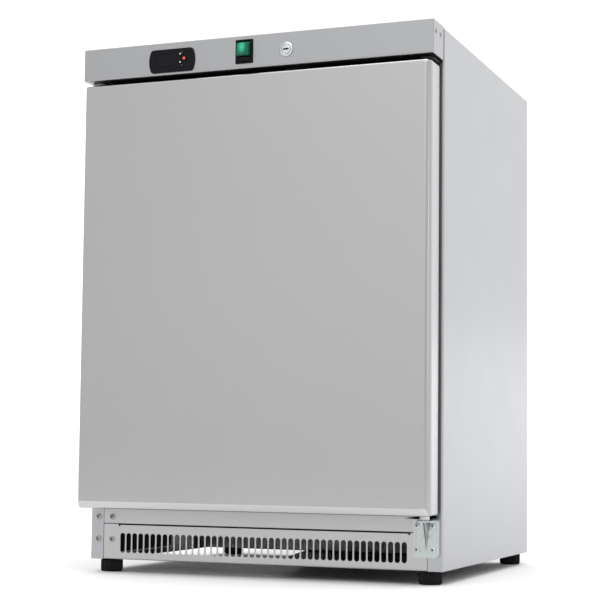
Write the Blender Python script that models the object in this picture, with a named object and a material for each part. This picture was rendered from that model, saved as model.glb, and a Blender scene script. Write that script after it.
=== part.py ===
"""Undercounter refrigerator, right-hand hinged, free-standing.

Frame: +Z up, the door faces -Y, +X to the user's right, origin at the bottom
centre of the bounding box.  Lengths are written in millimetres times MM.
"""
import math

import bpy
import bmesh
from mathutils import Matrix, Vector

MM = 0.001
GAP = 0.3 * MM                    # clearance between touching pieces

# cabinet
HALF_W = 300 * MM                 # half of the overall width
FRONT = -240 * MM                 # plane of the cabinet's front flanges
REAR = 305 * MM                   # rear edge of the side panels
BOTTOM = 21 * MM                  # underside of the cabinet, above the feet
TOP = 852 * MM                    # top sheet
SHEET = 1 * MM                    # outer sheet steel
FLANGE = 23.5 * MM                # folded front and rear flanges of the sides
BACK_Y = REAR - 28 * MM           # back sheet, set in to make room for the condenser
PAN_Z = 106.5 * MM                # underside of the insulated body
STEP_Y = 65 * MM                  # machine compartment begins behind this plane
STEP_Z = 325 * MM                 # ceiling of the machine compartment

# compartment
LINER = 1.5 * MM
IN_X = 254.5 * MM
IN_Z0, IN_Z1 = 150 * MM, 757 * MM
IN_BACK = 232 * MM
IN_STEP_Y, IN_STEP_Z = 22 * MM, 365 * MM

# door
DOOR_FRONT = -295 * MM
DOOR_T = 45 * MM
DOOR_X = 295.3 * MM
DOOR_Z0, DOOR_Z1 = 105.4 * MM, 793.9 * MM
DOOR_EDGE_R = 9 * MM
DOOR_RETURN = 12 * MM
HINGE = Vector((280.7 * MM, -270 * MM, 0))
PIN_R = 4 * MM
BUSH_R = 7 * MM

# control fascia
FASCIA_X = 299.2 * MM
FASCIA_Z0, FASCIA_Z1 = 801.8 * MM, 855 * MM
CONTROLLER = (-138 * MM, 824.5 * MM)
SWITCH = (-12 * MM, 828.8 * MM)
ROCKER_PIVOT_Y = -290 * MM
LOCK = (59.5 * MM, 826.6 * MM)
CAM_LENGTH = 38.5 * MM
CAM_Y = -271 * MM
KEYS = {"key_up": (-120.8 * MM, 835.2 * MM), "key_set": (-115.2 * MM, 825.4 * MM),
        "key_down": (-120.8 * MM, 815.6 * MM)}
KEY_R = 3.6 * MM

# plinth
RAIL_Z0, RAIL_Z1 = 79 * MM, 104.6 * MM
GRILLE_Z1 = 78.6 * MM
SLOTS = 45
SLOT_X0, SLOT_X1 = -240.8 * MM, 242.5 * MM
SLOT_W, SLOT_H, SLOT_Z = 7.6 * MM, 31.5 * MM, 48.2 * MM
SCREW_X = (260.6 * MM, 285.7 * MM)
SCREW_Z = (53.8 * MM, 89.8 * MM)
BRACKET_X = (255 * MM, 296 * MM)
FOOT_X, FOOT_INSET, FOOT_R = 273.4 * MM, 25 * MM, 19 * MM

# interior fittings
SHELF_Z = (392 * MM, 512 * MM, 632 * MM)
SHELF_T = 5 * MM
SHELF_X = 247 * MM
SHELF_Y0, SHELF_Y1 = -210 * MM, 186 * MM
FAN_Z = 640 * MM
FAN_Y = 203 * MM


# ---------------------------------------------------------------- mesh tools
def clear_scene():
    for obj in list(bpy.data.objects):
        bpy.data.objects.remove(obj, do_unlink=True)
    for mesh in list(bpy.data.meshes):
        bpy.data.meshes.remove(mesh)


def make(name, verts, faces):
    mesh = bpy.data.meshes.new(name)
    mesh.from_pydata([tuple(v) for v in verts], [], faces)
    bm = bmesh.new()
    bm.from_mesh(mesh)
    bmesh.ops.recalc_face_normals(bm, faces=bm.faces)
    bm.to_mesh(mesh)
    bm.free()
    obj = bpy.data.objects.new(name, mesh)
    bpy.context.scene.collection.objects.link(obj)
    return obj


def point(axis, a, b, along):
    """Place section coordinates (a, b) at a distance along an axis."""
    return {"X": (along, a, b), "Y": (a, along, b), "Z": (a, b, along)}[axis]


def prism(name, outline, axis, start, end):
    n = len(outline)
    verts = [point(axis, a, b, s) for s in (start, end) for a, b in outline]
    faces = [tuple(range(n)), tuple(range(n, 2 * n))]
    faces += [(i, (i + 1) % n, n + (i + 1) % n, n + i) for i in range(n)]
    return make(name, verts, faces)


def box(name, x0, x1, y0, y1, z0, z1):
    return prism(name, [(x0, y0), (x1, y0), (x1, y1), (x0, y1)], "Z", z0, z1)


def loft(name, rings, closed=False):
    """Skin a list of equal rings; the ends are capped unless the list is closed."""
    n = len(rings[0])
    verts = [v for ring in rings for v in ring]
    count = len(rings)
    faces = []
    for i in range(count if closed else count - 1):
        j = (i + 1) % count
        faces += [(i * n + k, i * n + (k + 1) % n, j * n + (k + 1) % n, j * n + k)
                  for k in range(n)]
    if not closed:
        faces += [tuple(range(n)), tuple(range((count - 1) * n, count * n))]
    return make(name, verts, faces)


def lathe(name, profile, axis, centre, sides=20, closed=False):
    """Turn (radius, along) pairs about an axis through centre."""
    ca, cb = centre
    rings = []
    for radius, along in profile:
        rings.append([point(axis, ca + radius * math.cos(t), cb + radius * math.sin(t), along)
                      for t in (2 * math.pi * k / sides for k in range(sides))])
    return loft(name, rings, closed)


def rect_rings(loops, axis, centre):
    """Rectangles (half a, half b, along) on a common centre, as rings."""
    ca, cb = centre
    return [[point(axis, ca + sa * a, cb + sb * b, s)
             for sa, sb in ((-1, -1), (1, -1), (1, 1), (-1, 1))] for a, b, s in loops]


def arc(centre, radius, start, end, steps):
    return [(centre[0] + radius * math.cos(t), centre[1] + radius * math.sin(t))
            for t in (start + (end - start) * k / steps for k in range(steps + 1))]


def rounded_rect(x0, x1, z0, z1, radii, steps=3):
    """Outline with one radius per corner: low-low, high-low, high-high, low-high."""
    corners = ((x0, z0, math.pi, 1, 1), (x1, z0, 1.5 * math.pi, -1, 1),
               (x1, z1, 0, -1, -1), (x0, z1, 0.5 * math.pi, 1, -1))
    out = []
    for (x, z, start, sx, sz), r in zip(corners, radii):
        if r <= 0:
            out.append((x, z))
        else:
            out += arc((x + sx * r, z + sz * r), r, start, start + math.pi / 2, steps)
    return out


def folded(path, thickness, radius, steps=2):
    """Section of a folded sheet: path is one face, the metal lies on its left."""
    face, back = [], []
    pts = [Vector(p) for p in path]
    for i, p in enumerate(pts):
        before = (p - pts[i - 1]).normalized() if i else None
        after = (pts[i + 1] - p).normalized() if i + 1 < len(pts) else None
        if before is None or after is None:
            d = after if before is None else before
            left = Vector((-d.y, d.x))
            face.append(p)
            back.append(p + left * thickness)
            continue
        turn = math.atan2(before.x * after.y - before.y * after.x, before.dot(after))
        side = 1 if turn > 0 else -1
        r_face = radius if side > 0 else radius - thickness
        r_back = radius - thickness if side > 0 else radius
        left = Vector((-before.y, before.x))
        centre = p - before * r_face * math.tan(abs(turn) / 2) + left * side * r_face
        for k in range(steps + 1):
            spoke = Matrix.Rotation(turn * k / steps, 2) @ (left * -side)
            face.append(centre + spoke * r_face)
            back.append(centre + spoke * r_back)
    return [tuple(p) for p in face + back[::-1]]


def tube(name, path, radius, sides=8):
    """Round bar along a path of points."""
    pts = [Vector(p) for p in path]
    rings = []
    normal = None
    for i, p in enumerate(pts):
        ahead = (pts[min(i + 1, len(pts) - 1)] - p)
        behind = (p - pts[max(i - 1, 0)])
        tangent = (ahead.normalized() + behind.normalized()).normalized()
        if normal is None:
            helper = Vector((0, 1, 0)) if abs(tangent.y) < 0.9 else Vector((1, 0, 0))
            normal = tangent.cross(helper).normalized()
        normal = (normal - tangent * normal.dot(tangent)).normalized()
        other = tangent.cross(normal)
        rings.append([p + radius * (math.cos(t) * normal + math.sin(t) * other)
                      for t in (2 * math.pi * k / sides for k in range(sides))])
    return loft(name, rings)


def combine(obj, tools, operation):
    """Add or cut away tool bodies, then discard the tools."""
    for tool in tools:
        mod = obj.modifiers.new(operation, "BOOLEAN")
        mod.operation = operation
        mod.solver = "EXACT"
        mod.object = tool
    bpy.context.view_layer.update()
    graph = bpy.context.evaluated_depsgraph_get()
    mesh = bpy.data.meshes.new_from_object(obj.evaluated_get(graph))
    obj.modifiers.clear()
    obj.data = mesh
    mesh.name = obj.name
    for tool in tools:
        bpy.data.objects.remove(tool, do_unlink=True)
    bm = bmesh.new()
    bm.from_mesh(mesh)
    bmesh.ops.remove_doubles(bm, verts=bm.verts, dist=1e-6)
    bm.to_mesh(mesh)
    bm.free()
    return obj


def cut(obj, *tools):
    return combine(obj, tools, "DIFFERENCE")


def add(obj, *tools):
    return combine(obj, tools, "UNION")


def drill(x, y, z, radius, axis="Y", reach=6 * MM, sides=12):
    """Cylinder used to make a hole."""
    centre, along = {"X": ((y, z), x), "Y": ((x, z), y), "Z": ((x, y), z)}[axis]
    return lathe("drill", [(radius, along - reach), (radius, along + reach)], axis, centre, sides)


def finish(obj, colour, roughness, metallic=0.0, origin=None, smooth=35):
    """Give the piece its material, shading and origin."""
    mat = bpy.data.materials.new(obj.name)
    mat.use_nodes = True
    shader = mat.node_tree.nodes["Principled BSDF"]
    shader.inputs["Base Color"].default_value = (*colour, 1)
    shader.inputs["Roughness"].default_value = roughness
    shader.inputs["Metallic"].default_value = metallic
    obj.data.materials.clear()
    obj.data.materials.append(mat)
    if origin is not None:
        obj.data.transform(Matrix.Translation(-Vector(origin)))
        obj.location = origin
    obj.data.shade_smooth()
    obj.data.set_sharp_from_angle(angle=math.radians(smooth))
    return obj


STAINLESS = ((0.56, 0.57, 0.58), 0.34, 1.0)
GREY_PAINT = ((0.60, 0.61, 0.63), 0.42, 0.6)
ZINC = ((0.62, 0.62, 0.60), 0.32, 1.0)
GALVANISED = ((0.52, 0.53, 0.54), 0.45, 0.9)
WHITE_PLASTIC = ((0.82, 0.83, 0.84), 0.45, 0.0)
BLACK_PLASTIC = ((0.02, 0.02, 0.022), 0.40, 0.0)
FOAM = ((0.80, 0.68, 0.42), 0.9, 0.0)
RUBBER = ((0.045, 0.045, 0.045), 0.75, 0.0)


# ---------------------------------------------------------------- cabinet shell
def side_panels():
    section = folded([(-HALF_W + FLANGE, REAR), (-HALF_W, REAR), (-HALF_W, FRONT),
                      (-HALF_W + FLANGE, FRONT)], SHEET, 2 * MM)
    for name, side in (("left_side_panel", 1), ("right_side_panel", -1)):
        outline = [(side * x, y) for x, y in section]
        panel = prism(name, outline, "Z", BOTTOM, TOP)
        cut(panel, *[drill(-side * SCREW_X[1], FRONT, z, 2.3 * MM) for z in SCREW_Z])
        finish(panel, *GREY_PAINT)


def top_and_back():
    y0, y1 = FRONT + SHEET + GAP, REAR - SHEET - GAP
    section = folded([(y1, TOP - 17 * MM), (y1, TOP), (y0, TOP), (y0, TOP - 17 * MM)],
                     SHEET, 2 * MM)
    x = HALF_W - SHEET - GAP
    finish(prism("top_panel", section, "X", -x, x), *GREY_PAINT)
    x = HALF_W - SHEET - 2 * GAP
    finish(box("back_panel", -x, x, BACK_Y, BACK_Y + 0.8 * MM, STEP_Z + 5 * MM, TOP - SHEET - GAP),
           *GALVANISED)


def base_pan():
    section = folded([(FRONT + 2.8 * MM, PAN_Z), (STEP_Y, PAN_Z), (STEP_Y, STEP_Z),
                      (BACK_Y - GAP, STEP_Z)], 0.8 * MM, 0.9 * MM)
    x = HALF_W - SHEET - 2 * GAP
    finish(prism("base_pan", section, "X", -x, x), *GALVANISED)


def liner_section(grow, front):
    """Side view of the compartment, grown outwards by a wall."""
    return [(front, IN_Z0 - grow), (IN_STEP_Y + grow, IN_Z0 - grow),
            (IN_STEP_Y + grow, IN_STEP_Z - grow), (IN_BACK + grow, IN_STEP_Z - grow),
            (IN_BACK + grow, IN_Z1 + grow), (front, IN_Z1 + grow)]


def insulated_body():
    front = FRONT + 1.5 * MM
    liner = prism("inner_liner", liner_section(LINER, front), "X", -IN_X - LINER, IN_X + LINER)
    cut(liner, prism("cavity", liner_section(0, front - 10 * MM), "X", -IN_X, IN_X))
    finish(liner, *WHITE_PLASTIC)

    clear = 0.8 * MM + GAP
    front = FRONT + 2.8 * MM
    outline = [(front, PAN_Z + clear), (STEP_Y - clear, PAN_Z + clear),
               (STEP_Y - clear, STEP_Z + clear), (BACK_Y - GAP, STEP_Z + clear),
               (BACK_Y - GAP, TOP - SHEET - GAP), (front, TOP - SHEET - GAP)]
    x = HALF_W - SHEET - 2 * GAP
    foam = prism("foam_insulation", outline, "X", -x, x)
    wall = LINER + GAP
    cut(foam, prism("cavity", liner_section(wall, front - 10 * MM), "X", -IN_X - wall, IN_X + wall))
    finish(foam, *FOAM)

    x = HALF_W - FLANGE - GAP
    frame = box("front_frame", -x, x, FRONT, FRONT + 1.2 * MM, PAN_Z, TOP - 18 * MM)
    cut(frame, box("opening", -IN_X, IN_X, FRONT - 5 * MM, FRONT + 5 * MM, IN_Z0, IN_Z1))
    finish(frame, *GREY_PAINT)


def plinth():
    x = HALF_W - FLANGE - GAP
    section = folded([(FRONT + 16 * MM, RAIL_Z1), (FRONT, RAIL_Z1), (FRONT, RAIL_Z0),
                      (FRONT + 14 * MM, RAIL_Z0)], SHEET, 1.6 * MM)
    rail = prism("front_rail", section, "X", -x, x)
    cut(rail, *[drill(s * SCREW_X[0], FRONT, SCREW_Z[1], 2.3 * MM) for s in (-1, 1)])
    finish(rail, *STAINLESS)

    section = folded([(FRONT, GRILLE_Z1), (FRONT, BOTTOM + GAP), (FRONT + 14 * MM, BOTTOM + GAP)],
                     SHEET, 1.6 * MM)
    grille = prism("front_grille", section, "X", -x, x)
    half = 249 * MM
    cut(grille, box("gap", -half, half, FRONT - 3 * MM, FRONT + 3 * MM,
                    GRILLE_Z1 - 1.2 * MM, GRILLE_Z1 + 3 * MM),
        *[drill(s * SCREW_X[0], FRONT, SCREW_Z[0], 2.3 * MM) for s in (-1, 1)])
    r, straight = SLOT_W / 2, (SLOT_H - SLOT_W) / 2
    for i in range(SLOTS):
        x = SLOT_X0 + (SLOT_X1 - SLOT_X0) * i / (SLOTS - 1)
        outline = (arc((x, SLOT_Z + straight), r, 0, math.pi, 4)
                   + arc((x, SLOT_Z - straight), r, math.pi, 2 * math.pi, 4))
        cut(grille, prism("slot", outline, "Y", FRONT - 4 * MM, FRONT + 4 * MM))
    finish(grille, *STAINLESS)


def screws():
    head = [(1.4, -2.5), (3.3, -1.8), (4.2, 0), (2.0, 0), (2.0, 7)]
    seats = {1: FRONT - 3.6 * MM, -1: FRONT - GAP}
    names = {1: "hinge_screw", -1: "blanking_screw"}
    for side in (1, -1):
        places = [(side * x, z) for z in SCREW_Z for x in SCREW_X]
        for number, place in enumerate(places, 1):
            profile = [(r * MM, seats[side] + s * MM) for r, s in head]
            screw = lathe(f"{names[side]}_{number}", profile, "Y", place, 10)
            finish(screw, *ZINC)


def base():
    x, y0, y1 = HALF_W - SHEET - GAP, FRONT + SHEET + GAP, REAR - SHEET - GAP
    inner, rear = x - 50 * MM, y1 - 30 * MM
    outline = [(-x, y0), (-inner, y0), (-inner, rear), (inner, rear), (inner, y0), (x, y0),
               (x, y1), (-x, y1)]
    z = BOTTOM + 2 * GAP + SHEET
    frame = prism("base_frame", outline, "Z", z, z + 1.5 * MM)
    spots = [(s * FOOT_X, y) for s in (-1, 1) for y in (FRONT + FOOT_INSET, REAR - FOOT_INSET)]
    cut(frame, *[drill(fx, fy, z, 4.3 * MM, "Z") for fx, fy in spots])
    finish(frame, *GALVANISED)

    profile = [(17, 0), (19, 2), (19, 18.6), (17, 20.7), (4, 20.7), (4, 44), (3.2, 45)]
    names = ("foot_front_left", "foot_rear_left", "foot_front_right", "foot_rear_right")
    for name, (fx, fy) in zip(names, spots):
        foot = lathe(name, [(r * MM, s * MM) for r, s in profile], "Z", (fx, fy), 20)
        finish(foot, *BLACK_PLASTIC, origin=(fx, fy, 0))
    return z + 1.5 * MM


# ---------------------------------------------------------------- door
def pan_loops(hx, hz, front, back, radius, thickness, lip):
    """Folded pan, open to the back, with rounded front edges and an inward lip."""
    turns = [math.pi / 2 * k / 4 for k in range(5)]
    outer = [(hx - radius * (1 - math.cos(t)), hz - radius * (1 - math.cos(t)),
              front + radius * (1 - math.sin(t))) for t in turns]
    inner = [(hx - thickness - (radius - thickness) * (1 - math.cos(t)),
              hz - thickness - (radius - thickness) * (1 - math.cos(t)),
              front + thickness + (radius - thickness) * (1 - math.sin(t))) for t in turns]
    rim = [(hx, hz, back)]
    if lip:
        rim = [(hx - thickness, hz - thickness, back - thickness),
               (hx - lip, hz - lip, back - thickness), (hx - lip, hz - lip, back),
               (hx, hz, back)]
    else:
        rim = [(hx - thickness, hz - thickness, back), (hx, hz, back)]
    return inner[::-1] + rim + outer


def door():
    hx, hz = DOOR_X, (DOOR_Z1 - DOOR_Z0) / 2
    centre = (0, (DOOR_Z1 + DOOR_Z0) / 2)
    back = DOOR_FRONT + DOOR_T
    skin = loft("door_skin", rect_rings(
        pan_loops(hx, hz, DOOR_FRONT, back, DOOR_EDGE_R, 0.8 * MM, DOOR_RETURN), "Y", centre))

    inset = 0.8 * MM + GAP
    wall = 8 * MM
    foam = loft("door_foam", rect_rings(
        [(hx - wall, hz - wall, DOOR_FRONT + inset), (hx - inset, hz - inset, DOOR_FRONT + wall),
         (hx - inset, hz - inset, back - 2 * MM)], "Y", centre))
    dyke = [(238.2, 288.2, -254), (238.2, 288.2, -236), (232.2, 282.2, -230)]
    add(foam, loft("dyke", rect_rings([[v * MM for v in row] for row in dyke], "Y", centre)))

    slot = (LOCK[0] - 8 * MM, LOCK[0] + 23 * MM, CAM_Y - 3 * MM, CAM_Y + 3 * MM)
    for piece, reach in ((skin, 4 * MM), (foam, 9 * MM)):
        cut(piece, box("slot", *slot, DOOR_Z1 - reach, DOOR_Z1 + 5 * MM),
            drill(HINGE.x, HINGE.y, DOOR_Z0, BUSH_R + GAP, "Z", 20 * MM, 20),
            drill(HINGE.x, HINGE.y, DOOR_Z1, BUSH_R + GAP, "Z", 20 * MM, 20))
    finish(skin, *STAINLESS, origin=HINGE)
    finish(foam, *FOAM, origin=HINGE)

    for name, z, way in (("hinge_bush_lower", DOOR_Z0, 1), ("hinge_bush_upper", DOOR_Z1, -1)):
        bore = PIN_R + GAP
        profile = [(bore, z), (BUSH_R, z), (BUSH_R, z + way * 19 * MM), (bore, z + way * 19 * MM)]
        finish(lathe(name, profile, "Z", HINGE.xy, 20, closed=True), *WHITE_PLASTIC, origin=HINGE)

    edge = (hx - DOOR_RETURN - GAP, hz - DOOR_RETURN - GAP)
    rows = [(232.5, 282.5, -229.5), (238.5, 288.5, -235.5), (238.5, 288.5, -251.5),
            (edge[0] / MM, edge[1] / MM, -251.5), (edge[0] / MM, edge[1] / MM, -250),
            (240, 290, -250), (240, 290, -234), (234, 284, -228)]
    liner = loft("door_liner", rect_rings([[v * MM for v in row] for row in rows], "Y", centre))
    finish(liner, *WHITE_PLASTIC, origin=HINGE)

    reach = (278.5 * MM, 339.2 * MM)
    section = [(2, -249.7), (17, -249.7), (15, -246), (21, -244.4), (21, -240.3), (0, -240.3),
               (0, -244.4), (5, -246)]
    rings = rect_rings([(reach[0] - u * MM, reach[1] - u * MM, y * MM) for u, y in section],
                       "Y", centre)
    finish(loft("door_gasket", rings, closed=True), (0.30, 0.30, 0.31), 0.65, origin=HINGE)


# ---------------------------------------------------------------- hinges
def hinges():
    x0, x1 = BRACKET_X
    front = FRONT - GAP
    plate_t = 3 * MM
    rib_x = 275.5 * MM

    z0, z1 = 41.4 * MM, 99 * MM
    plate = prism("lower_hinge_bracket",
                  rounded_rect(x0, x1, z0, z1, (8 * MM, 8 * MM, 0, 0)), "Y", front - plate_t, front)
    nose = arc(HINGE.xy, 13 * MM, math.pi, 2 * math.pi, 8)
    leaf = [(x1 - 2.3 * MM, front - 0.5 * MM), (x0 + 12.7 * MM, front - 0.5 * MM)] + nose
    rib = make("rib", [(rib_x - 6.5 * MM, front - 2 * MM, z1 - 1 * MM),
                       (rib_x + 6.5 * MM, front - 2 * MM, z1 - 1 * MM),
                       (rib_x, front - 19 * MM, z1 - 1 * MM),
                       (rib_x - 2 * MM, front - 2 * MM, 55 * MM),
                       (rib_x + 2 * MM, front - 2 * MM, 55 * MM),
                       (rib_x, front - 4.5 * MM, 55 * MM)],
               [(0, 1, 2), (3, 4, 5), (0, 1, 4, 3), (1, 2, 5), (1, 5, 4), (2, 0, 3), (2, 3, 5)])
    pin = lathe("pin", [(PIN_R, z1 - 1 * MM), (PIN_R, 120 * MM), (PIN_R - 1 * MM, 121 * MM)],
                "Z", HINGE.xy, 20)
    add(plate, prism("leaf", leaf, "Z", z1 - 2.5 * MM, z1 - 0.2 * MM), rib, pin)
    cut(plate, *[drill(x, front, z, 2.3 * MM) for x in SCREW_X for z in SCREW_Z])
    finish(plate, *ZINC)

    washer = [(PIN_R + GAP, z1 + GAP), (7.5 * MM, z1 + GAP), (7.5 * MM, DOOR_Z0 - GAP),
              (PIN_R + GAP, DOOR_Z0 - GAP)]
    finish(lathe("hinge_washer", washer, "Z", HINGE.xy, 20, closed=True), *WHITE_PLASTIC)

    z0, z1 = 797 * MM, 845 * MM
    leg = box("upper_hinge_bracket", x0, x1, front - plate_t, front, z0, z1)
    pin = lathe("pin", [(PIN_R - 1 * MM, 778 * MM), (PIN_R, 779 * MM), (PIN_R, z0 + 1 * MM)],
                "Z", HINGE.xy, 20)
    add(leg, prism("leaf", leaf, "Z", z0 + 0.2 * MM, z0 + 3 * MM), pin)
    finish(leg, *ZINC)


# ---------------------------------------------------------------- control fascia
def fascia():
    centre = (0, (FASCIA_Z0 + FASCIA_Z1) / 2)
    back = FRONT - GAP
    shell = loft("control_fascia", rect_rings(
        pan_loops(FASCIA_X, (FASCIA_Z1 - FASCIA_Z0) / 2, DOOR_FRONT, back, 2.4 * MM, SHEET, 0),
        "Y", centre))

    def window(place, w, h):
        x, z = place
        return box("window", x - w / 2, x + w / 2, DOOR_FRONT - 5 * MM, DOOR_FRONT + 5 * MM,
                   z - h / 2, z + h / 2)

    cut(shell, window(CONTROLLER, 71 * MM, 29 * MM), window(SWITCH, 27 * MM, 36.4 * MM),
        drill(LOCK[0], DOOR_FRONT, LOCK[1], 9.8 * MM, sides=24),
        box("cam_slot", LOCK[0] - 8 * MM, LOCK[0] + 32 * MM, CAM_Y - 3 * MM, CAM_Y + 3 * MM,
            FASCIA_Z0 - 3 * MM, FASCIA_Z0 + 3 * MM),
        box("hinge_notch", BRACKET_X[0] - 1 * MM, BRACKET_X[1] + 1 * MM, back - 4 * MM,
            back + 5 * MM, FASCIA_Z0 - 3 * MM, FASCIA_Z0 + 3 * MM))
    finish(shell, *STAINLESS)


def controller():
    cx, cz = CONTROLLER
    front = DOOR_FRONT - 3 * MM
    half_w, half_h, bulge = 35.5 * MM, 19 * MM, 4.5 * MM
    radius = (half_h ** 2 + bulge ** 2) / (2 * bulge)
    sweep = math.asin(half_h / radius)
    outline = (arc((cx + half_w + bulge - radius, cz), radius, -sweep, sweep, 8)
               + arc((cx - half_w - bulge + radius, cz), radius, math.pi - sweep,
                     math.pi + sweep, 8))
    housing = prism("controller_housing", outline, "Y", front, DOOR_FRONT - GAP)
    add(housing, box("body", cx - 35 * MM, cx + 35 * MM, front + 1 * MM, -245 * MM,
                     cz - 14 * MM, cz + 14 * MM))
    lens = (cx - 25 * MM, cx + 8 * MM, cz - 9 * MM, cz + 10 * MM)
    cut(housing, box("pocket", lens[0], lens[1], front - 5 * MM, front + 1.2 * MM, *lens[2:]),
        *[drill(x, front, z, KEY_R + GAP, "Y", 4 * MM, 16) for x, z in KEYS.values()])
    finish(housing, *BLACK_PLASTIC)
    finish(box("display_lens", lens[0] + GAP, lens[1] - GAP, front - 0.1 * MM, front + 0.9 * MM,
               lens[2] + GAP, lens[3] - GAP), (0.03, 0.006, 0.006), 0.12)
    for name, (x, z) in KEYS.items():
        cap = [(KEY_R - 0.5 * MM, front - 1.1 * MM), (KEY_R, front - 0.6 * MM),
               (KEY_R, front + 1.9 * MM)]
        finish(lathe(name, cap, "Y", (x, z), 16), (0.05, 0.05, 0.055), 0.5, origin=(x, front, z))


def power_switch():
    cx, cz = SWITCH
    front = DOOR_FRONT - 2 * MM
    housing = box("switch_housing", cx - 15 * MM, cx + 15 * MM, front, DOOR_FRONT - GAP,
                  cz - 19.3 * MM, cz + 19.3 * MM)
    add(housing, box("body", cx - 13.2 * MM, cx + 13.2 * MM, front + 1 * MM, -268 * MM,
                     cz - 17.9 * MM, cz + 17.9 * MM))
    cut(housing, box("cavity", cx - 11 * MM, cx + 11 * MM, front - 5 * MM, -278 * MM,
                     cz - 17.2 * MM, cz + 17.2 * MM))
    finish(housing, *BLACK_PLASTIC)

    side = [(-15, -6), (-14.6, 6), (-13.5, 12.2), (-10, 13.8), (-3, 15.5), (8, 4), (8, -4),
            (-3, -16), (-6.2, -16), (-8.5, -8.5)]
    outline = [(ROCKER_PIVOT_Y + y * MM, cz + z * MM) for y, z in side]
    rocker = prism("switch_rocker", outline, "X", cx - 10.6 * MM, cx + 10.6 * MM)
    finish(rocker, (0.01, 0.42, 0.13), 0.25, origin=(cx, ROCKER_PIVOT_Y, cz))


def lock():
    cx, cz = LOCK
    face = DOOR_FRONT - 2.4 * MM
    rear = -273 * MM
    bore = 7.9 * MM
    ring = [(bore, face + 0.3 * MM), (9.2 * MM, face), (10.6 * MM, face), (11.4 * MM, face + 1 * MM),
            (11.4 * MM, DOOR_FRONT - GAP), (9.5 * MM, DOOR_FRONT - GAP), (9.5 * MM, rear),
            (bore, rear)]
    finish(lathe("lock_barrel", ring, "Y", (cx, cz), 24, closed=True), *ZINC)
    plug = lathe("lock_plug", [(bore - 0.9 * MM, face + 0.1 * MM), (bore - GAP, face + 0.6 * MM),
                               (bore - GAP, rear + 0.5 * MM)], "Y", (cx, cz), 24)
    cut(plug, box("keyway", cx - 4.5 * MM, cx + 4.5 * MM, face - 5 * MM, face + 7 * MM,
                  cz - 0.9 * MM, cz + 0.9 * MM))
    finish(plug, *ZINC, origin=(cx, face, cz))
    outline = (arc((cx, cz), 7 * MM, math.pi / 2, 1.5 * math.pi, 8)
               + arc((cx + CAM_LENGTH - 5 * MM, cz), 5 * MM, -math.pi / 2, math.pi / 2, 6))
    finish(prism("lock_cam", outline, "Y", CAM_Y - 1 * MM, CAM_Y + 1 * MM), *ZINC,
           origin=(cx, CAM_Y, cz))


# ---------------------------------------------------------------- interior
def shelves():
    wires = 23
    for number, z in enumerate(SHELF_Z, 1):
        shelf = box(f"wire_shelf_{number}", -SHELF_X, SHELF_X, SHELF_Y0, SHELF_Y1, z, z + SHELF_T)
        bar, rim = 3.4 * MM, 5 * MM
        pitch = (2 * SHELF_X - 2 * rim + bar) / wires
        for i in range(wires):
            x = -SHELF_X + rim + i * pitch
            cut(shelf, box("mesh", x, x + pitch - bar, SHELF_Y0 + rim, SHELF_Y1 - rim,
                           z - 5 * MM, z + SHELF_T + 5 * MM))
        finish(shelf, (0.86, 0.87, 0.88), 0.35)

    wall, root, tip = IN_X - GAP, SHELF_X + GAP, SHELF_X - 9 * MM
    levels = [SHELF_Z[0] + 40 * MM * k for k in range(8)]
    outline = [(wall, 372 * MM), (root, 372 * MM)]
    for z in levels:
        outline += [(root, z - 4 * MM), (tip, z - 3 * MM), (tip, z - GAP), (root, z - GAP)]
    outline += [(root, 700 * MM), (wall, 700 * MM)]
    for name, side in (("shelf_runner_left", -1), ("shelf_runner_right", 1)):
        finish(prism(name, [(side * x, z) for x, z in outline], "Y", -200 * MM, 180 * MM),
               *WHITE_PLASTIC)


def cold_unit():
    x, z0, z1 = 190 * MM, 405 * MM, 735 * MM
    plate = box("evaporator_plate", -x, x, IN_BACK - 3.3 * MM, IN_BACK - GAP, z0, z1)
    finish(plate, (0.70, 0.71, 0.72), 0.4, 1.0)

    mid = (0, (z0 + z1) / 2)
    cover = loft("evaporator_cover", rect_rings(
        pan_loops(200 * MM, 172 * MM, 193 * MM, IN_BACK - GAP, 6 * MM, LINER, 0), "Y", mid))
    tools = []
    for k in range(20):
        t = 2 * math.pi * k / 20
        slit = box("slit", 14 * MM, 46 * MM, 185 * MM, 198 * MM, -2.2 * MM, 2.2 * MM)
        slit.data.transform(Matrix.Translation((0, 0, FAN_Z)) @ Matrix.Rotation(t, 4, "Y"))
        tools.append(slit)
    tools += [box("slit", s * 24 * MM - 3 * MM, s * 24 * MM + 3 * MM, 185 * MM, 198 * MM,
                  430 * MM, 500 * MM) for s in range(-6, 7)]
    cut(cover, *tools)
    finish(cover, *WHITE_PLASTIC)

    motor = [(18, 209), (20, 211), (20, 224), (18, 228.4)]
    finish(lathe("fan_motor", [(r * MM, y * MM) for r, y in motor], "Y", (0, FAN_Z), 20),
           *GALVANISED)
    blade = lathe("fan_blade", [(10 * MM, 198 * MM), (13 * MM, 200 * MM), (13 * MM, 208.6 * MM)],
                  "Y", (0, FAN_Z), 16)
    tools = []
    for k in range(5):
        vane = box("vane", 9 * MM, 47 * MM, -0.7 * MM, 0.7 * MM, -13 * MM, 13 * MM)
        vane.data.transform(Matrix.Translation((0, FAN_Y, FAN_Z))
                            @ Matrix.Rotation(2 * math.pi * k / 5, 4, "Y")
                            @ Matrix.Rotation(math.radians(14), 4, "X"))
        tools.append(vane)
    add(blade, *tools)
    finish(blade, *BLACK_PLASTIC, origin=(0, FAN_Y, FAN_Z))

    probe = [(1.5, 95), (3, 97), (3, 135), (1.4, 136), (1.4, 150)]
    finish(lathe("temperature_probe", [(r * MM, y * MM) for r, y in probe], "Y",
                 (-150 * MM, IN_Z1 - 3.3 * MM), 12), *STAINLESS)


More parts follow.
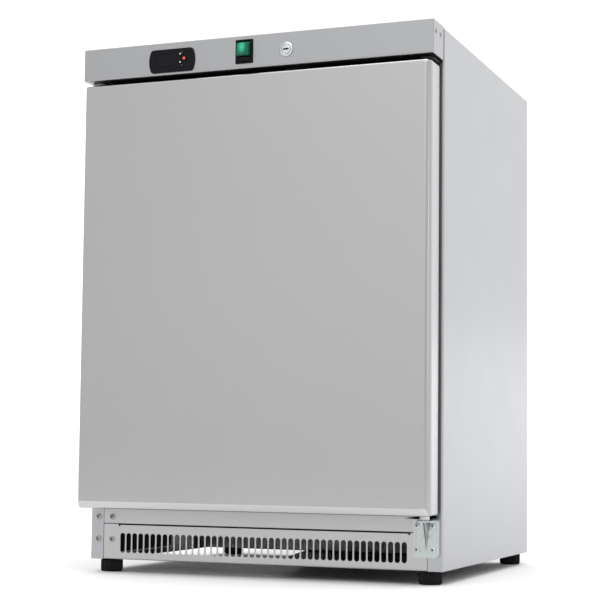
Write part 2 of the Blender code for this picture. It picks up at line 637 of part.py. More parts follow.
# ---------------------------------------------------------------- machine compartment
def machine(floor_z):
    z = floor_z + GAP
    y0, y1 = 80 * MM, 296 * MM
    section = folded([(y0, z + 22 * MM), (y0, z), (y1, z), (y1, z + 40 * MM)], 1.2 * MM, 2.4 * MM)
    deck = prism("compressor_deck", section, "X", -264 * MM, 264 * MM)
    gland = (-190 * MM, z + 24 * MM)
    cut(deck, drill(gland[0], y1, gland[1], 6.3 * MM, sides=16))
    finish(deck, *GALVANISED)
    ring = [(3.6, 290), (6, 290), (6, 296.3), (9, 296.3), (9, 300), (6.5, 304), (3.6, 304)]
    finish(lathe("cable_gland", [(r * MM, y * MM) for r, y in ring], "Y", gland, 16, closed=True),
           *BLACK_PLASTIC)

    top = z + 1.2 * MM + GAP
    cx, cy = 40 * MM, 185 * MM
    rows = [(52, 30, 10), (78, 56, 14), (92, 66, 30), (95, 69, 60), (95, 69, 78), (93, 67, 96),
            (86, 60, 118), (70, 46, 136), (44, 28, 147), (14, 9, 151)]
    rings = []
    for a, b, h in rows:
        ring = []
        for k in range(24):
            t = 2 * math.pi * k / 24
            c, s = math.cos(t), math.sin(t)
            power = 0.8
            ring.append((cx + a * MM * math.copysign(abs(c) ** power, c),
                         cy + b * MM * math.copysign(abs(s) ** power, s), top + h * MM))
        rings.append(ring)
    pot = loft("compressor", rings)
    plate = box("plate", cx - 100 * MM, cx + 100 * MM, cy - 60 * MM, cy + 60 * MM,
                top + 11 * MM, top + 14 * MM)
    legs = [lathe("leg", [(9 * MM, top), (9 * MM, top + 12 * MM)], "Z",
                  (cx + sx * 86 * MM, cy + sy * 48 * MM), 12) for sx in (-1, 1) for sy in (-1, 1)]
    add(pot, plate, *legs)
    finish(pot, (0.018, 0.018, 0.02), 0.35)

    relay = box("relay_box", cx + 97 * MM, cx + 140 * MM, cy - 32 * MM, cy + 32 * MM,
                top + 34 * MM, top + 92 * MM)
    finish(relay, *BLACK_PLASTIC)

    tray_z = top + 160 * MM
    rows = [(98, 58, 2), (100, 60, 28), (102, 62, 28), (100, 60, 0)]
    finish(loft("drip_tray", rect_rings([(a * MM, b * MM, tray_z + s * MM) for a, b, s in rows],
                                        "Z", (cx, cy))), *WHITE_PLASTIC)

    r, drier_z = 2.4 * MM, 120 * MM
    drier = [(3, -245), (3, -238), (9, -228), (9, -150), (3, -140), (3, -133)]
    finish(lathe("filter_drier", [(a * MM, s * MM) for a, s in drier], "X", (250 * MM, drier_z), 14),
           (0.72, 0.36, 0.22), 0.3, 1.0)

    passes, pitch, half, y, low = 10, 46 * MM, 210 * MM, 291 * MM, 366 * MM
    path = [(-125 * MM, 250 * MM, drier_z), (-118 * MM, 256 * MM, drier_z),
            (-112 * MM, 280 * MM, drier_z + 6 * MM), (-110 * MM, y, drier_z + 20 * MM),
            (-110 * MM, y, low - 20 * MM), (-105 * MM, y, low - 6 * MM), (-95 * MM, y, low)]
    for i in range(passes):
        side = 1 if i % 2 == 0 else -1
        zc = low + pitch * (i + 0.5)
        if i == passes - 1:
            path.append((side * half, y, zc - pitch / 2))
            continue
        path += [(side * (half + pitch / 2 * math.sin(t)), y, zc - pitch / 2 * math.cos(t))
                 for t in (math.pi * k / 6 for k in range(7))]
    last = low + pitch * (passes - 1)
    path += [(-half - 34 * MM, y, last), (-half - 40 * MM, y, last - 8 * MM),
                 (-half - 40 * MM, y, 190 * MM), (-half - 36 * MM, y - 8 * MM, 172 * MM),
                 (-half - 20 * MM, 240 * MM, 160 * MM), (-150 * MM, 215 * MM, 100 * MM),
                 (cx - 98 * MM, cy + 8 * MM, top + 70 * MM)]
    finish(tube("condenser_coil", path, r, 6), (0.03, 0.03, 0.032), 0.5, 0.3)


def main():
    clear_scene()
    side_panels()
    top_and_back()
    base_pan()
    insulated_body()
    plinth()
    screws()
    floor_z = base()
    door()
    hinges()
    fascia()
    controller()
    power_switch()
    lock()
    shelves()
    cold_unit()
    machine(floor_z)


main()
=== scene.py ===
"""Undercounter refrigerator: the visual model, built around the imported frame.

Lengths in this file are millimetres in the frame's own axes (+Z up, the door
faces -Y); make() turns them into metres.
"""
import math

import bpy
import bmesh
from mathutils import Matrix, Vector


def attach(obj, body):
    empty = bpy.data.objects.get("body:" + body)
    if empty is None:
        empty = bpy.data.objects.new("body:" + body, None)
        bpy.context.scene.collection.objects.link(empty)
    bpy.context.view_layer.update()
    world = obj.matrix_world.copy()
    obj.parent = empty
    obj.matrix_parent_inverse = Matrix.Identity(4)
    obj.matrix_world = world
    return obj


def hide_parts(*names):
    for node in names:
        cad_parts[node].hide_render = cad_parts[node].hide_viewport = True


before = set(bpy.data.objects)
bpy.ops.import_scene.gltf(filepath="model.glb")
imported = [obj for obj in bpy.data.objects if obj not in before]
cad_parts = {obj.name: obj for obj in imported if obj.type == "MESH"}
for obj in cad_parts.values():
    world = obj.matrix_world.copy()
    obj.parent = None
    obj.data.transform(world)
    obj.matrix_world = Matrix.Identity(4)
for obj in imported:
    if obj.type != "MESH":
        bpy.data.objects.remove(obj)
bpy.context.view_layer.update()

MM = 0.001
GAP = 0.3                                  # clearance between touching pieces
FRONT, REAR, BOTTOM, TOP = -240.0, 305.0, 21.0, 852.0
DOOR_Y0, DOOR_Y1 = -295.0, -250.0
DOOR_X, DOOR_Z0, DOOR_Z1 = 295.3, 105.4, 793.9
DOOR_MID = (0.0, (DOOR_Z0 + DOOR_Z1) / 2)
HINGE, BUSH_HOLE = (280.7, -270.0), 7.3
FASCIA_X, FASCIA_Z0, FASCIA_Z1 = 299.2, 801.8, 855.0
CONTROLLER = (-138.0, 824.5)
SWITCH = (-12.0, 828.8)
LOCK = (59.5, 826.6)
ROCKER_Y = -290.0                          # the rocker turns about this line
KEYS = {"up": (-120.8, 835.2), "set": (-115.2, 825.4), "down": (-120.8, 815.6)}
SCREW_X, SCREW_Z, SCREW_HOLE = (260.6, 285.7), (53.8, 89.8), 2.3
IN_X, IN_Z0, IN_Z1, IN_BACK = 254.5, 150.0, 757.0, 232.0
STEP_Y, STEP_Z = 22.0, 365.0               # step over the machine compartment
FAN_Z = 640.0
SHELF_Z = (392.0, 512.0, 632.0)


# ------------------------------------------------------------------ mesh tools
def place_mesh(name, mesh):
    obj = bpy.data.objects.new(name, mesh)
    bpy.context.scene.collection.objects.link(obj)
    return obj


def edit(mesh, change):
    """Run change(bm) on a mesh."""
    bm = bmesh.new()
    bm.from_mesh(mesh)
    change(bm)
    bm.to_mesh(mesh)
    bm.free()


def make(name, verts, faces):
    mesh = bpy.data.meshes.new(name)
    mesh.from_pydata([tuple(c * MM for c in v) for v in verts], [], faces)
    edit(mesh, lambda bm: bmesh.ops.recalc_face_normals(bm, faces=bm.faces))
    return place_mesh(name, mesh)


def point(axis, a, b, along):
    return {"X": (along, a, b), "Y": (a, along, b), "Z": (a, b, along)}[axis]


def loft(name, rings, closed=False):
    """Skin equal rings of points; the ends are capped unless the list is closed."""
    n, count = len(rings[0]), len(rings)
    faces = []
    for i in range(count if closed else count - 1):
        j = (i + 1) % count
        faces += [(i * n + k, i * n + (k + 1) % n, j * n + (k + 1) % n, j * n + k)
                  for k in range(n)]
    if not closed:
        faces += [tuple(range(n)), tuple(range((count - 1) * n, count * n))]
    return make(name, [v for ring in rings for v in ring], faces)


def prism(name, outline, axis, start, end):
    return loft(name, [[point(axis, a, b, s) for a, b in outline] for s in (start, end)])


def box(name, x0, x1, y0, y1, z0, z1):
    return prism(name, [(x0, y0), (x1, y0), (x1, y1), (x0, y1)], "Z", z0, z1)


def lathe(name, profile, axis, centre, sides=48, closed=False, ribs=0.0):
    """Turn (radius, along) pairs about an axis; ribs lowers every other point."""
    rings = []
    for radius, along in profile:
        ring = []
        for k in range(sides):
            t = 2 * math.pi * k / sides
            r = radius - (ribs if k % 2 and radius > 10 * ribs else 0)
            ring.append(point(axis, centre[0] + r * math.cos(t), centre[1] + r * math.sin(t),
                              along))
        rings.append(ring)
    return loft(name, rings, closed)


def arc(centre, radius, start, end, steps):
    return [(centre[0] + radius * math.cos(t), centre[1] + radius * math.sin(t))
            for t in (start + (end - start) * k / steps for k in range(steps + 1))]


def rounded(x0, x1, z0, z1, radius, steps=5):
    """Rectangle outline; radius is one number or one for each corner."""
    radii = radius if isinstance(radius, (list, tuple)) else (radius,) * 4
    corners = ((x0, z0, math.pi, 1, 1), (x1, z0, 1.5 * math.pi, -1, 1),
               (x1, z1, 0, -1, -1), (x0, z1, 0.5 * math.pi, 1, -1))
    out = []
    for (x, z, start, sx, sz), r in zip(corners, radii):
        r = max(r, 0.01)
        out += arc((x + sx * r, z + sz * r), r, start, start + math.pi / 2, steps)
    return out


def rect_rings(rows, axis, centre, steps=5):
    """Rounded rectangles (half a, half b, along, corner radius) as rings."""
    ca, cb = centre
    return [[point(axis, a, b, along) for a, b in rounded(ca - ha, ca + ha, cb - hb, cb + hb,
                                                          r, steps)]
            for ha, hb, along, r in rows]


def offset(outline, d):
    """Move a closed outline inwards by d along its normals."""
    pts = [Vector(p) for p in outline]
    area = sum(a.x * b.y - b.x * a.y for a, b in zip(pts, pts[1:] + pts[:1]))
    side = 1 if area > 0 else -1
    out = []
    for i, p in enumerate(pts):
        e0, e1 = (p - pts[i - 1]).normalized(), (pts[(i + 1) % len(pts)] - p).normalized()
        n0, n1 = Vector((-e0.y, e0.x)) * side, Vector((-e1.y, e1.x)) * side
        n = (n0 + n1).normalized()
        out.append(tuple(p + n * d / max(0.3, n.dot(n0))))
    return out


def folded(path, thickness, radius, steps=6):
    """Section of a folded sheet: path is one face, the metal lies on its left."""
    face, back = [], []
    pts = [Vector(p) for p in path]
    for i, p in enumerate(pts):
        before = (p - pts[i - 1]).normalized() if i else None
        after = (pts[i + 1] - p).normalized() if i + 1 < len(pts) else None
        if before is None or after is None:
            d = after if before is None else before
            face.append(p)
            back.append(p + Vector((-d.y, d.x)) * thickness)
            continue
        turn = math.atan2(before.x * after.y - before.y * after.x, before.dot(after))
        side = 1 if turn > 0 else -1
        r_face = radius if side > 0 else radius - thickness
        r_back = radius - thickness if side > 0 else radius
        left = Vector((-before.y, before.x))
        centre = p - before * r_face * math.tan(abs(turn) / 2) + left * side * r_face
        for k in range(steps + 1):
            spoke = Matrix.Rotation(turn * k / steps, 2) @ (left * -side)
            face.append(centre + spoke * r_face)
            back.append(centre + spoke * r_back)
    return [tuple(p) for p in face + back[::-1]]


def tube(name, path, radius, sides=10):
    """Round bar along a path; radius may be one number or one for each point."""
    pts = [Vector(p) for p in path]
    radii = radius if isinstance(radius, (list, tuple)) else [radius] * len(pts)
    rings, normal = [], None
    for i, p in enumerate(pts):
        ahead = pts[min(i + 1, len(pts) - 1)] - p
        behind = p - pts[max(i - 1, 0)]
        tangent = (ahead.normalized() + behind.normalized()).normalized()
        if normal is None:
            helper = Vector((0, 1, 0)) if abs(tangent.y) < 0.9 else Vector((1, 0, 0))
            normal = tangent.cross(helper).normalized()
        normal = (normal - tangent * normal.dot(tangent)).normalized()
        other = tangent.cross(normal)
        rings.append([p + radii[i] * (math.cos(t) * normal + math.sin(t) * other)
                      for t in (2 * math.pi * k / sides for k in range(sides))])
    return loft(name, rings)


def curve_path(points, per_span=6):
    """Catmull-Rom points through a list of places."""
    pts = [Vector(p) for p in points]
    pts = [2 * pts[0] - pts[1]] + pts + [2 * pts[-1] - pts[-2]]
    out = []
    for i in range(1, len(pts) - 2):
        a, b, c, d = pts[i - 1:i + 3]
        for k in range(per_span):
            t = k / per_span
            out.append(0.5 * ((2 * b) + (c - a) * t + (2 * a - 5 * b + 4 * c - d) * t * t
                              + (3 * b - 3 * c + d - a) * t ** 3))
    return out + [pts[-2]]


def remove(*objects):
    for obj in objects:
        bpy.data.objects.remove(obj, do_unlink=True)


def join(name, parts):
    """Put several meshes into one object."""
    mesh = bpy.data.meshes.new(name)
    bm = bmesh.new()
    for part in parts:
        bm.from_mesh(part.data)
    bm.to_mesh(mesh)
    bm.free()
    remove(*parts)
    return place_mesh(name, mesh)


def combine(obj, tools, operation):
    for tool in tools:
        mod = obj.modifiers.new(operation, "BOOLEAN")
        mod.operation, mod.solver, mod.object = operation, "EXACT", tool
    bpy.context.view_layer.update()
    graph = bpy.context.evaluated_depsgraph_get()
    mesh = bpy.data.meshes.new_from_object(obj.evaluated_get(graph))
    obj.modifiers.clear()
    obj.data = mesh
    remove(*tools)
    edit(mesh, lambda bm: bmesh.ops.remove_doubles(bm, verts=bm.verts, dist=1e-6))
    return obj


def cut(obj, *tools):
    return combine(obj, tools, "DIFFERENCE")


def add(obj, *tools):
    return combine(obj, tools, "UNION")


def drill(x, y, z, radius, axis="Y", reach=6.0, sides=24):
    centre, along = {"X": ((y, z), x), "Y": ((x, z), y), "Z": ((x, y), z)}[axis]
    return lathe("drill", [(radius, along - reach), (radius, along + reach)], axis, centre, sides)


def cam_slot(reach, z0, z1, grow=0.0):
    """Cutter for the slot that the lock's cam swings down through."""
    outline = rounded(LOCK[0] - 8 - grow, LOCK[0] + reach + grow, -274 - grow, -268 + grow, 1.2, 3)
    return prism("cam_slot", outline, "Z", z0, z1)


def stamp(name, source, place, turn=0.0, axis="Z"):
    """A copy of a mesh, turned about an axis through the origin and moved."""
    mesh = source.copy()
    mesh.transform(Matrix.Translation(Vector(place) * MM) @ Matrix.Rotation(turn, 4, axis))
    return place_mesh(name, mesh)


def around(count, make_one, centre_z):
    """Copies of one part set round an axis along Y at a height."""
    out = []
    for k in range(count):
        part = make_one()
        part.data.transform(Matrix.Translation((0, 0, centre_z * MM))
                            @ Matrix.Rotation(2 * math.pi * k / count, 4, "Y"))
        out.append(part)
    return out


def second_look(obj, look, test):
    """Give a second material to the faces whose centre, in mm, and normal pass a test."""
    obj.data.materials.append(look)
    for face in obj.data.polygons:
        if test(face.center / MM, face.normal):
            face.material_index = 1


def piece(obj, look, replaced=None, body="cabinet", bevel=0.0, segments=2, smooth=38,
          limit=40):
    """Shade, finish and attach one piece; replaced names the CAD node it stands for."""
    obj.data.materials.clear()
    obj.data.materials.append(look)
    obj.data.shade_smooth()
    obj.data.set_sharp_from_angle(angle=math.radians(smooth))
    if bevel:
        mod = obj.modifiers.new("bevel", "BEVEL")
        mod.width, mod.segments = bevel * MM, segments
        mod.limit_method, mod.angle_limit = "ANGLE", math.radians(limit)
        mod.use_clamp_overlap = True
        mod.harden_normals = False
    mod = obj.modifiers.new("normals", "WEIGHTED_NORMAL")
    mod.keep_sharp = True
    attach(obj, body)
    if replaced:
        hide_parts(replaced)
    return obj


def refine(node, look, bevel, segments=2):
    """A cleaned copy of a CAD node with softened edges."""
    def clean(bm):
        bmesh.ops.remove_doubles(bm, verts=bm.verts, dist=2e-6)
        bmesh.ops.dissolve_limit(bm, angle_limit=math.radians(1), verts=bm.verts,
                                 edges=bm.edges)
        bmesh.ops.recalc_face_normals(bm, faces=bm.faces)

    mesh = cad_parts[node].data.copy()
    obj = place_mesh(node + "_fine", mesh)
    edit(mesh, clean)
    for name in [a.name for a in mesh.attributes if a.name.startswith("custom_normal")]:
        mesh.attributes.remove(mesh.attributes[name])
    return piece(obj, look, node, bevel=bevel, segments=segments)


# ------------------------------------------------------------------ materials
class Graph:
    """Short-hand for wiring shader nodes."""

    def __init__(self, tree):
        self.tree = tree

    def node(self, kind, values=(), **settings):
        """A new node; values are (input, number, vector or socket) pairs."""
        n = self.tree.nodes.new(kind)
        for key, value in settings.items():
            setattr(n, key, value)
        for key, value in values:
            if hasattr(value, "is_output"):
                self.link(value, n.inputs[key])
            else:
                n.inputs[key].default_value = value
        return n

    def link(self, a, b):
        self.tree.links.new(a, b)

    def math(self, operation, a, b=0.0):
        return self.node("ShaderNodeMath", ((0, a), (1, b)), operation=operation).outputs[0]

    def plus(self, total, signal, gain):
        return self.math("ADD", self.math("MULTIPLY", signal, gain), total)

    def noise(self, vector, scale, detail=3.0, rough=0.55):
        n = self.node("ShaderNodeTexNoise", (("Vector", vector), ("Scale", scale),
                                             ("Detail", detail), ("Roughness", rough)))
        return self.math("SUBTRACT", n.outputs["Fac"], 0.5)

    def map_range(self, value, start, end, low=0.0, high=1.0, **settings):
        return self.node("ShaderNodeMapRange", (("Value", value), ("From Min", start),
                                                ("From Max", end), ("To Min", low),
                                                ("To Max", high)), **settings).outputs["Result"]

    def bell(self, value, middle, width):
        """exp(-u * u) of the distance u = (value - middle) / width."""
        u = self.math("DIVIDE", self.math("SUBTRACT", value, middle), width)
        return self.math("POWER", math.e, self.math("MULTIPLY", self.math("MULTIPLY", u, u), -1.0))

    def tint(self, colour, level):
        """Colour times level; either may be a socket."""
        return self.node("ShaderNodeMix", ((0, 1.0), (6, colour), (7, level)), data_type="RGBA",
                         blend_type="MULTIPLY").outputs[2]


def surface(name, slot, colour, rough, metal=0.0, tone=0.05, tone_scale=5.0, rough_vary=0.1,
            pits=900.0, pit_depth=0.0, edge_highlight=0.0, spangle=0.0, wave_depth=0.0, grain=None,
            grain_tone=0.0, grain_rough=0.0, grain_depth=0.0, **sockets):
    """Procedural finish: cloudy tone, stretched grain, fine pits, spangle, painted edge highlight.

    Depths are in millimetres and scales are per metre; tone, grain_tone, spangle and
    edge_highlight are relative changes of brightness.
    """
    mat = bpy.data.materials.new(name)
    mat.use_nodes = True
    shader = mat.node_tree.nodes["Principled BSDF"]
    g = Graph(mat.node_tree)
    place = g.node("ShaderNodeTexCoord").outputs["Object"]
    cloud = g.noise(place, tone_scale, 4.0)
    smudge = g.noise(place, tone_scale * 5.3, 3.0, 0.65)
    level = g.plus(g.plus(1.0, cloud, 2 * tone), smudge, tone)
    gloss = g.plus(rough, smudge, 2 * rough_vary)
    height = 0.0

    if grain:
        streak = g.noise(g.node("ShaderNodeMapping", (("Vector", place), ("Scale", grain)))
                         .outputs["Vector"], 1.0, 4.0, 0.6)
        level = g.plus(level, streak, 2 * grain_tone)
        gloss = g.plus(gloss, streak, 2 * grain_rough)
    if grain_depth:
        height = g.plus(height, streak, grain_depth)
    if pit_depth:
        speck = g.noise(place, pits, 2.0)
        height = g.plus(height, speck, pit_depth)
        gloss = g.plus(gloss, speck, rough_vary)
    if wave_depth:
        height = g.plus(height, cloud, wave_depth)
    if spangle:
        bend = g.node("ShaderNodeTexNoise", (("Vector", place), ("Scale", 60.0)))
        soft = g.node("ShaderNodeVectorMath", ((0, bend.outputs["Color"]), ("Scale", 0.012)),
                      operation="SCALE")
        warp = g.node("ShaderNodeVectorMath", ((0, place), (1, soft.outputs[0])),
                      operation="ADD")
        cell = g.node("ShaderNodeTexVoronoi", (("Vector", warp.outputs[0]), ("Scale", 95.0)))
        split = g.node("ShaderNodeSeparateColor", ((0, cell.outputs["Color"]),))
        level = g.plus(level, g.math("SUBTRACT", split.outputs[0], 0.5), 2 * spangle)
        gloss = g.plus(gloss, g.math("SUBTRACT", split.outputs[1], 0.5), 0.2)
    # painted highlight: convex edges (high pointiness) are made lighter and a little glossier
    if edge_highlight:
        edge = g.map_range(g.node("ShaderNodeNewGeometry").outputs["Pointiness"], 0.51, 0.60)
        edge_light = g.math("MULTIPLY", edge, g.math("ADD", g.noise(place, 160.0, 3.0), 0.75))
        level = g.plus(level, edge_light, edge_highlight)
        gloss = g.plus(gloss, edge_light, -0.08)

    g.link(g.tint((*colour, 1), level), shader.inputs["Base Color"])
    g.link(g.math("MINIMUM", g.math("MAXIMUM", gloss, 0.04), 1.0), shader.inputs["Roughness"])
    shader.inputs["Metallic"].default_value = metal
    if height != 0.0:
        bump = g.node("ShaderNodeBump", (("Strength", 1.0), ("Distance", MM),
                                         ("Height", height)))
        g.link(bump.outputs["Normal"], shader.inputs["Normal"])
    for key, value in sockets.items():
        shader.inputs[key.replace("_", " ").title().replace("Ior", "IOR")].default_value = value
    return mat


# columns after the colour: roughness, metal, tone, tone_scale, rough_vary, pits, pit_depth
SATIN = {"grain": (28, 28, 1500), "grain_rough": 0.03, "grain_depth": 0.0025}
DOOR_STEEL = surface("satin_steel_door", "stainless", (0.436, 0.437, 0.441), 0.22, 1.0, 0.018, 2.2,
                     0.03, 2600, 0.0015, grain_tone=0.018, **SATIN)
# lighter steel for the door's rolled bottom edge: a painted reflection of the bright floor
FLOOR_REFLECTION_STEEL = surface("steel_painted_floor_reflection", "stainless", (0.545, 0.545, 0.55), 0.24, 1.0, 0.018,
                     2.2, 0.03, 2600, 0.0015, grain_tone=0.018, **SATIN)
# the same stainless as the door, made darker as painted shade for the dimmer surroundings the
# control strip reflects
FASCIA_STEEL = surface("satin_steel_fascia", "stainless", (0.385, 0.389, 0.396), 0.36, 1.0, 0.018,
                       3.0, 0.03, 2600, 0.0015, grain_tone=0.02, **SATIN)
PLINTH_STEEL = surface("satin_steel_plinth", "stainless", (0.455, 0.450, 0.452), 0.38, 1.0, 0.03,
                       7.0, 0.05, 2200, 0.003, grain=(26, 26, 1200), grain_tone=0.02,
                       grain_rough=0.04, grain_depth=0.003)
CABINET = surface("grey_coated_steel", "grey_steel", (0.392, 0.397, 0.411), 0.36, 0.95, 0.012, 2.4,
                  0.04, 420, 0.010, edge_highlight=0.05, wave_depth=0.02)
GALVANISED = surface("galvanised_sheet", "galvanised", (0.42, 0.43, 0.45), 0.42, 0.95, 0.05, 9.0,
                     0.1, 700, 0.006, spangle=0.16)
# galvanised darkened as painted shade, for the base pan and compressor deck seen through the slots
SHADE_GREY_STEEL = surface("shade_grey_galvanised", "galvanised", (0.36, 0.35, 0.34), 0.5, 0.85, 0.12, 14.0,
                     0.1, 700, 0.01, spangle=0.16)
# galvanised darkened nearly to black as painted shade, for the base frame behind the slots
SHADE_DARK_STEEL = surface("shade_dark_galvanised", "galvanised", (0.085, 0.086, 0.090), 0.55, 0.6, 0.12, 14.0,
                     0.1, 700, 0.01, spangle=0.2)
ZINC = surface("zinc_plate", "zinc", (0.425, 0.462, 0.456), 0.33, 0.95, 0.13, 55.0, 0.12, 700,
               0.035, edge_highlight=0.12)
# zinc darkened nearly to black as painted shade, for the upper hinge bracket in the dark gap
SHADED_ZINC = surface("shade_black_zinc", "zinc", (0.030, 0.031, 0.034), 0.45, 0.7, 0.12, 40.0, 0.08,
                    1300, 0.010, edge_highlight=0.3)
LIGHT_SCREW = surface("bright_screw_zinc", "zinc", (0.66, 0.68, 0.68), 0.30, 0.95, 0.08, 90.0,
                      0.10, 1600, 0.006, edge_highlight=0.15)
# darker zinc; on the spare hinge plate under the control strip it is painted shade
GREY_ZINC = surface("grey_zinc_plate", "zinc", (0.26, 0.265, 0.27), 0.45, 0.8, 0.12, 40.0, 0.08,
                    1300, 0.010, edge_highlight=0.2)
SCREW = surface("screw_zinc", "zinc", (0.40, 0.415, 0.42), 0.28, 0.95, 0.10, 90.0, 0.10, 1600,
                0.006, edge_highlight=0.25)
CHROME = surface("chrome_plate", "zinc", (0.60, 0.61, 0.62), 0.17, 1.0, 0.03, 50.0, 0.05, 900, 0.0,
                 grain=(60, 60, 2400), grain_tone=0.03, grain_rough=0.04)
WHITE = surface("white_moulding", "white_plastic", (0.80, 0.81, 0.82), 0.38, 0.0, 0.015, 6.0, 0.06,
                1100, 0.010)
BLACK = surface("black_moulding", "black_plastic", (0.0055, 0.0052, 0.0065), 0.40, 0.0, 0.12, 30.0,
                0.08, 1700, 0.030, edge_highlight=0.5, specular_ior_level=0.14)
GLOSS_BLACK = surface("black_gloss_moulding", "black_plastic", (0.0045, 0.0045, 0.0058), 0.22, 0.0,
                      0.10, 30.0, 0.05, 1500, 0.004, edge_highlight=0.4, specular_ior_level=0.12)
KEY = surface("key_rubber", "key_plastic", (0.0065, 0.0065, 0.0075), 0.42, 0.0, 0.10, 120.0, 0.1,
              2600, 0.02, specular_ior_level=0.12)
DISPLAY = surface("smoked_window", "display_lens", (0.0042, 0.0046, 0.0068), 0.10, 0.0, 0.15, 60.0,
                  0.03, 900, 0.0, specular_ior_level=0.15)
MARK = surface("printed_mark", "key_plastic", (0.72, 0.72, 0.72), 0.55, 0.0, 0.06, 400.0, 0.1,
               4000, 0.004)
FAINT_MARK = surface("worn_mark", "key_plastic", (0.20, 0.20, 0.21), 0.55, 0.0, 0.10, 400.0, 0.1,
                     4000, 0.004)
LED = surface("red_indicator", "display_lens", (0.62, 0.05, 0.045), 0.25, 0.0, 0.10, 500.0, 0.05,
              900, 0.0, emission_color=(0.95, 0.05, 0.04, 1), emission_strength=0.45)
RUBBER = surface("gasket_rubber", "gasket", (0.16, 0.16, 0.165), 0.62, 0.0, 0.06, 25.0, 0.1, 1200,
                 0.02, grain=(9, 9, 9), grain_tone=0.05)
FOAM = surface("rigid_foam", "foam", (0.80, 0.66, 0.38), 0.85, 0.0, 0.08, 25.0, 0.1, 500, 0.3)
WIRE = surface("coated_wire", "coated_wire", (0.82, 0.83, 0.83), 0.30, 0.0, 0.03, 20.0, 0.08, 700,
               0.02)
ALUMINIUM = surface("frosted_aluminium", "evaporator", (0.62, 0.64, 0.66), 0.45, 0.9, 0.06, 18.0,
                    0.1, 800, 0.02, grain=(900, 900, 20), grain_tone=0.03, grain_rough=0.05)
COPPER = surface("drawn_copper", "copper", (0.66, 0.32, 0.19), 0.32, 1.0, 0.16, 35.0, 0.12, 900,
                 0.01, grain=(20, 900, 900), grain_tone=0.05)
# near-black sheet for pieces that stand in for shade in gaps and behind the slots
SHADE_BLACK = surface("shade_black_sheet", "gasket", (0.006, 0.006, 0.0065), 0.7, 0.0, 0.2, 40.0, 0.1, 600,
                  0.2, specular_ior_level=0.1)
SHELL = surface("black_shell_paint", "compressor_shell", (0.020, 0.020, 0.022), 0.30, 0.0, 0.10,
                20.0, 0.08, 380, 0.05, edge_highlight=0.3, coat_weight=0.3, coat_roughness=0.15)
COIL = surface("black_tube_paint", "black_tube", (0.026, 0.026, 0.028), 0.48, 0.2, 0.14, 25.0,
               0.12, 900, 0.02, edge_highlight=0.3)


def lens_material():
    """Green translucent plastic with a lamp behind its middle."""
    mat = surface("green_lens", "green_lens", (0.001, 0.085, 0.042), 0.16, 0.0, 0.12, 70.0, 0.05,
                  900, 0.004, coat_weight=0.1, coat_roughness=0.05, specular_ior_level=0.2,
                  emission_strength=1.0)
    g = Graph(mat.node_tree)
    place = g.node("ShaderNodeTexCoord").outputs["Object"]
    split = g.node("ShaderNodeSeparateXYZ", ((0, place),))
    lamp = g.math("MULTIPLY", g.bell(split.outputs["X"], -0.0130, 0.0060),
                  g.bell(split.outputs["Z"], 0.8345, 0.0090))
    ramp = g.node("ShaderNodeValToRGB", (("Fac", lamp),))
    low, high = ramp.color_ramp.elements
    low.position, low.color = 0.12, (0.0, 0.006, 0.003, 1)
    high.position, high.color = 0.95, (0.045, 0.46, 0.275, 1)
    g.link(ramp.outputs["Color"], mat.node_tree.nodes["Principled BSDF"].inputs["Emission Color"])
    return mat


LENS = lens_material()


# ------------------------------------------------------------------ sheet-metal pans
def edge_inset(radius, depth):
    """How far a rounded edge draws in at a depth below the face."""
    if depth >= radius:
        return 0.0
    return radius - math.sqrt(radius ** 2 - (radius - depth) ** 2)


# depths of a pan's rings behind its face, and how far a rolled bottom edge draws in there
LEVELS = [0, 0.04, 0.15, 0.35, 0.7, 1.2, 1.9, 2.8, 4, 5.5, 7.2, 9.2, 12]
ROLL = dict(zip(LEVELS, [11.4, 10.9, 10.2, 9.4, 8.4, 7.1, 5.3, 3.0, 0.9, 0.15, 0, 0, 0]))


def pan(name, x0, x1, z0, z1, y0, y1, radii, thickness, lip=0.0, corner=2.0, steps=4,
        roll=False):
    """Pan open to the back; radii are the front edges' (left, right, bottom, top).

    A rolled pan slopes back along its bottom edge as ROLL says, and not on a radius.
    """
    top = max(radii)
    corners = corner if isinstance(corner, tuple) else (corner,) * 4

    def ring(y, depth, shrink):
        ins = [edge_inset(max(r - shrink, 0.2), depth) + shrink for r in radii]
        if roll:
            ins[2] = ROLL.get(depth, 0) + shrink
        r = [max(c - shrink - 0.5 * min(ins), 0.25) for c in corners]
        return [point("Y", a, b, y) for a, b in
                rounded(x0 + ins[0], x1 - ins[1], z0 + ins[2], z1 - ins[3], r, steps)]

    outer = [ring(y0 + d, d, 0) for d in LEVELS if d < top] + [ring(y0 + top, top, 0)]
    inner = [ring(y0 + thickness + d, d, thickness) for d in LEVELS if d < top - thickness]
    inner.append(ring(y0 + top, top - thickness, thickness))
    if lip:
        rim = [ring(y1 - thickness, 99, thickness), ring(y1 - thickness, 99, lip),
               ring(y1, 99, lip), ring(y1, 99, 0.5), ring(y1 - 0.5, 99, 0)]
    else:
        rim = [ring(y1, 99, thickness), ring(y1, 99, 0)]
    return loft(name, inner + rim + outer[::-1])


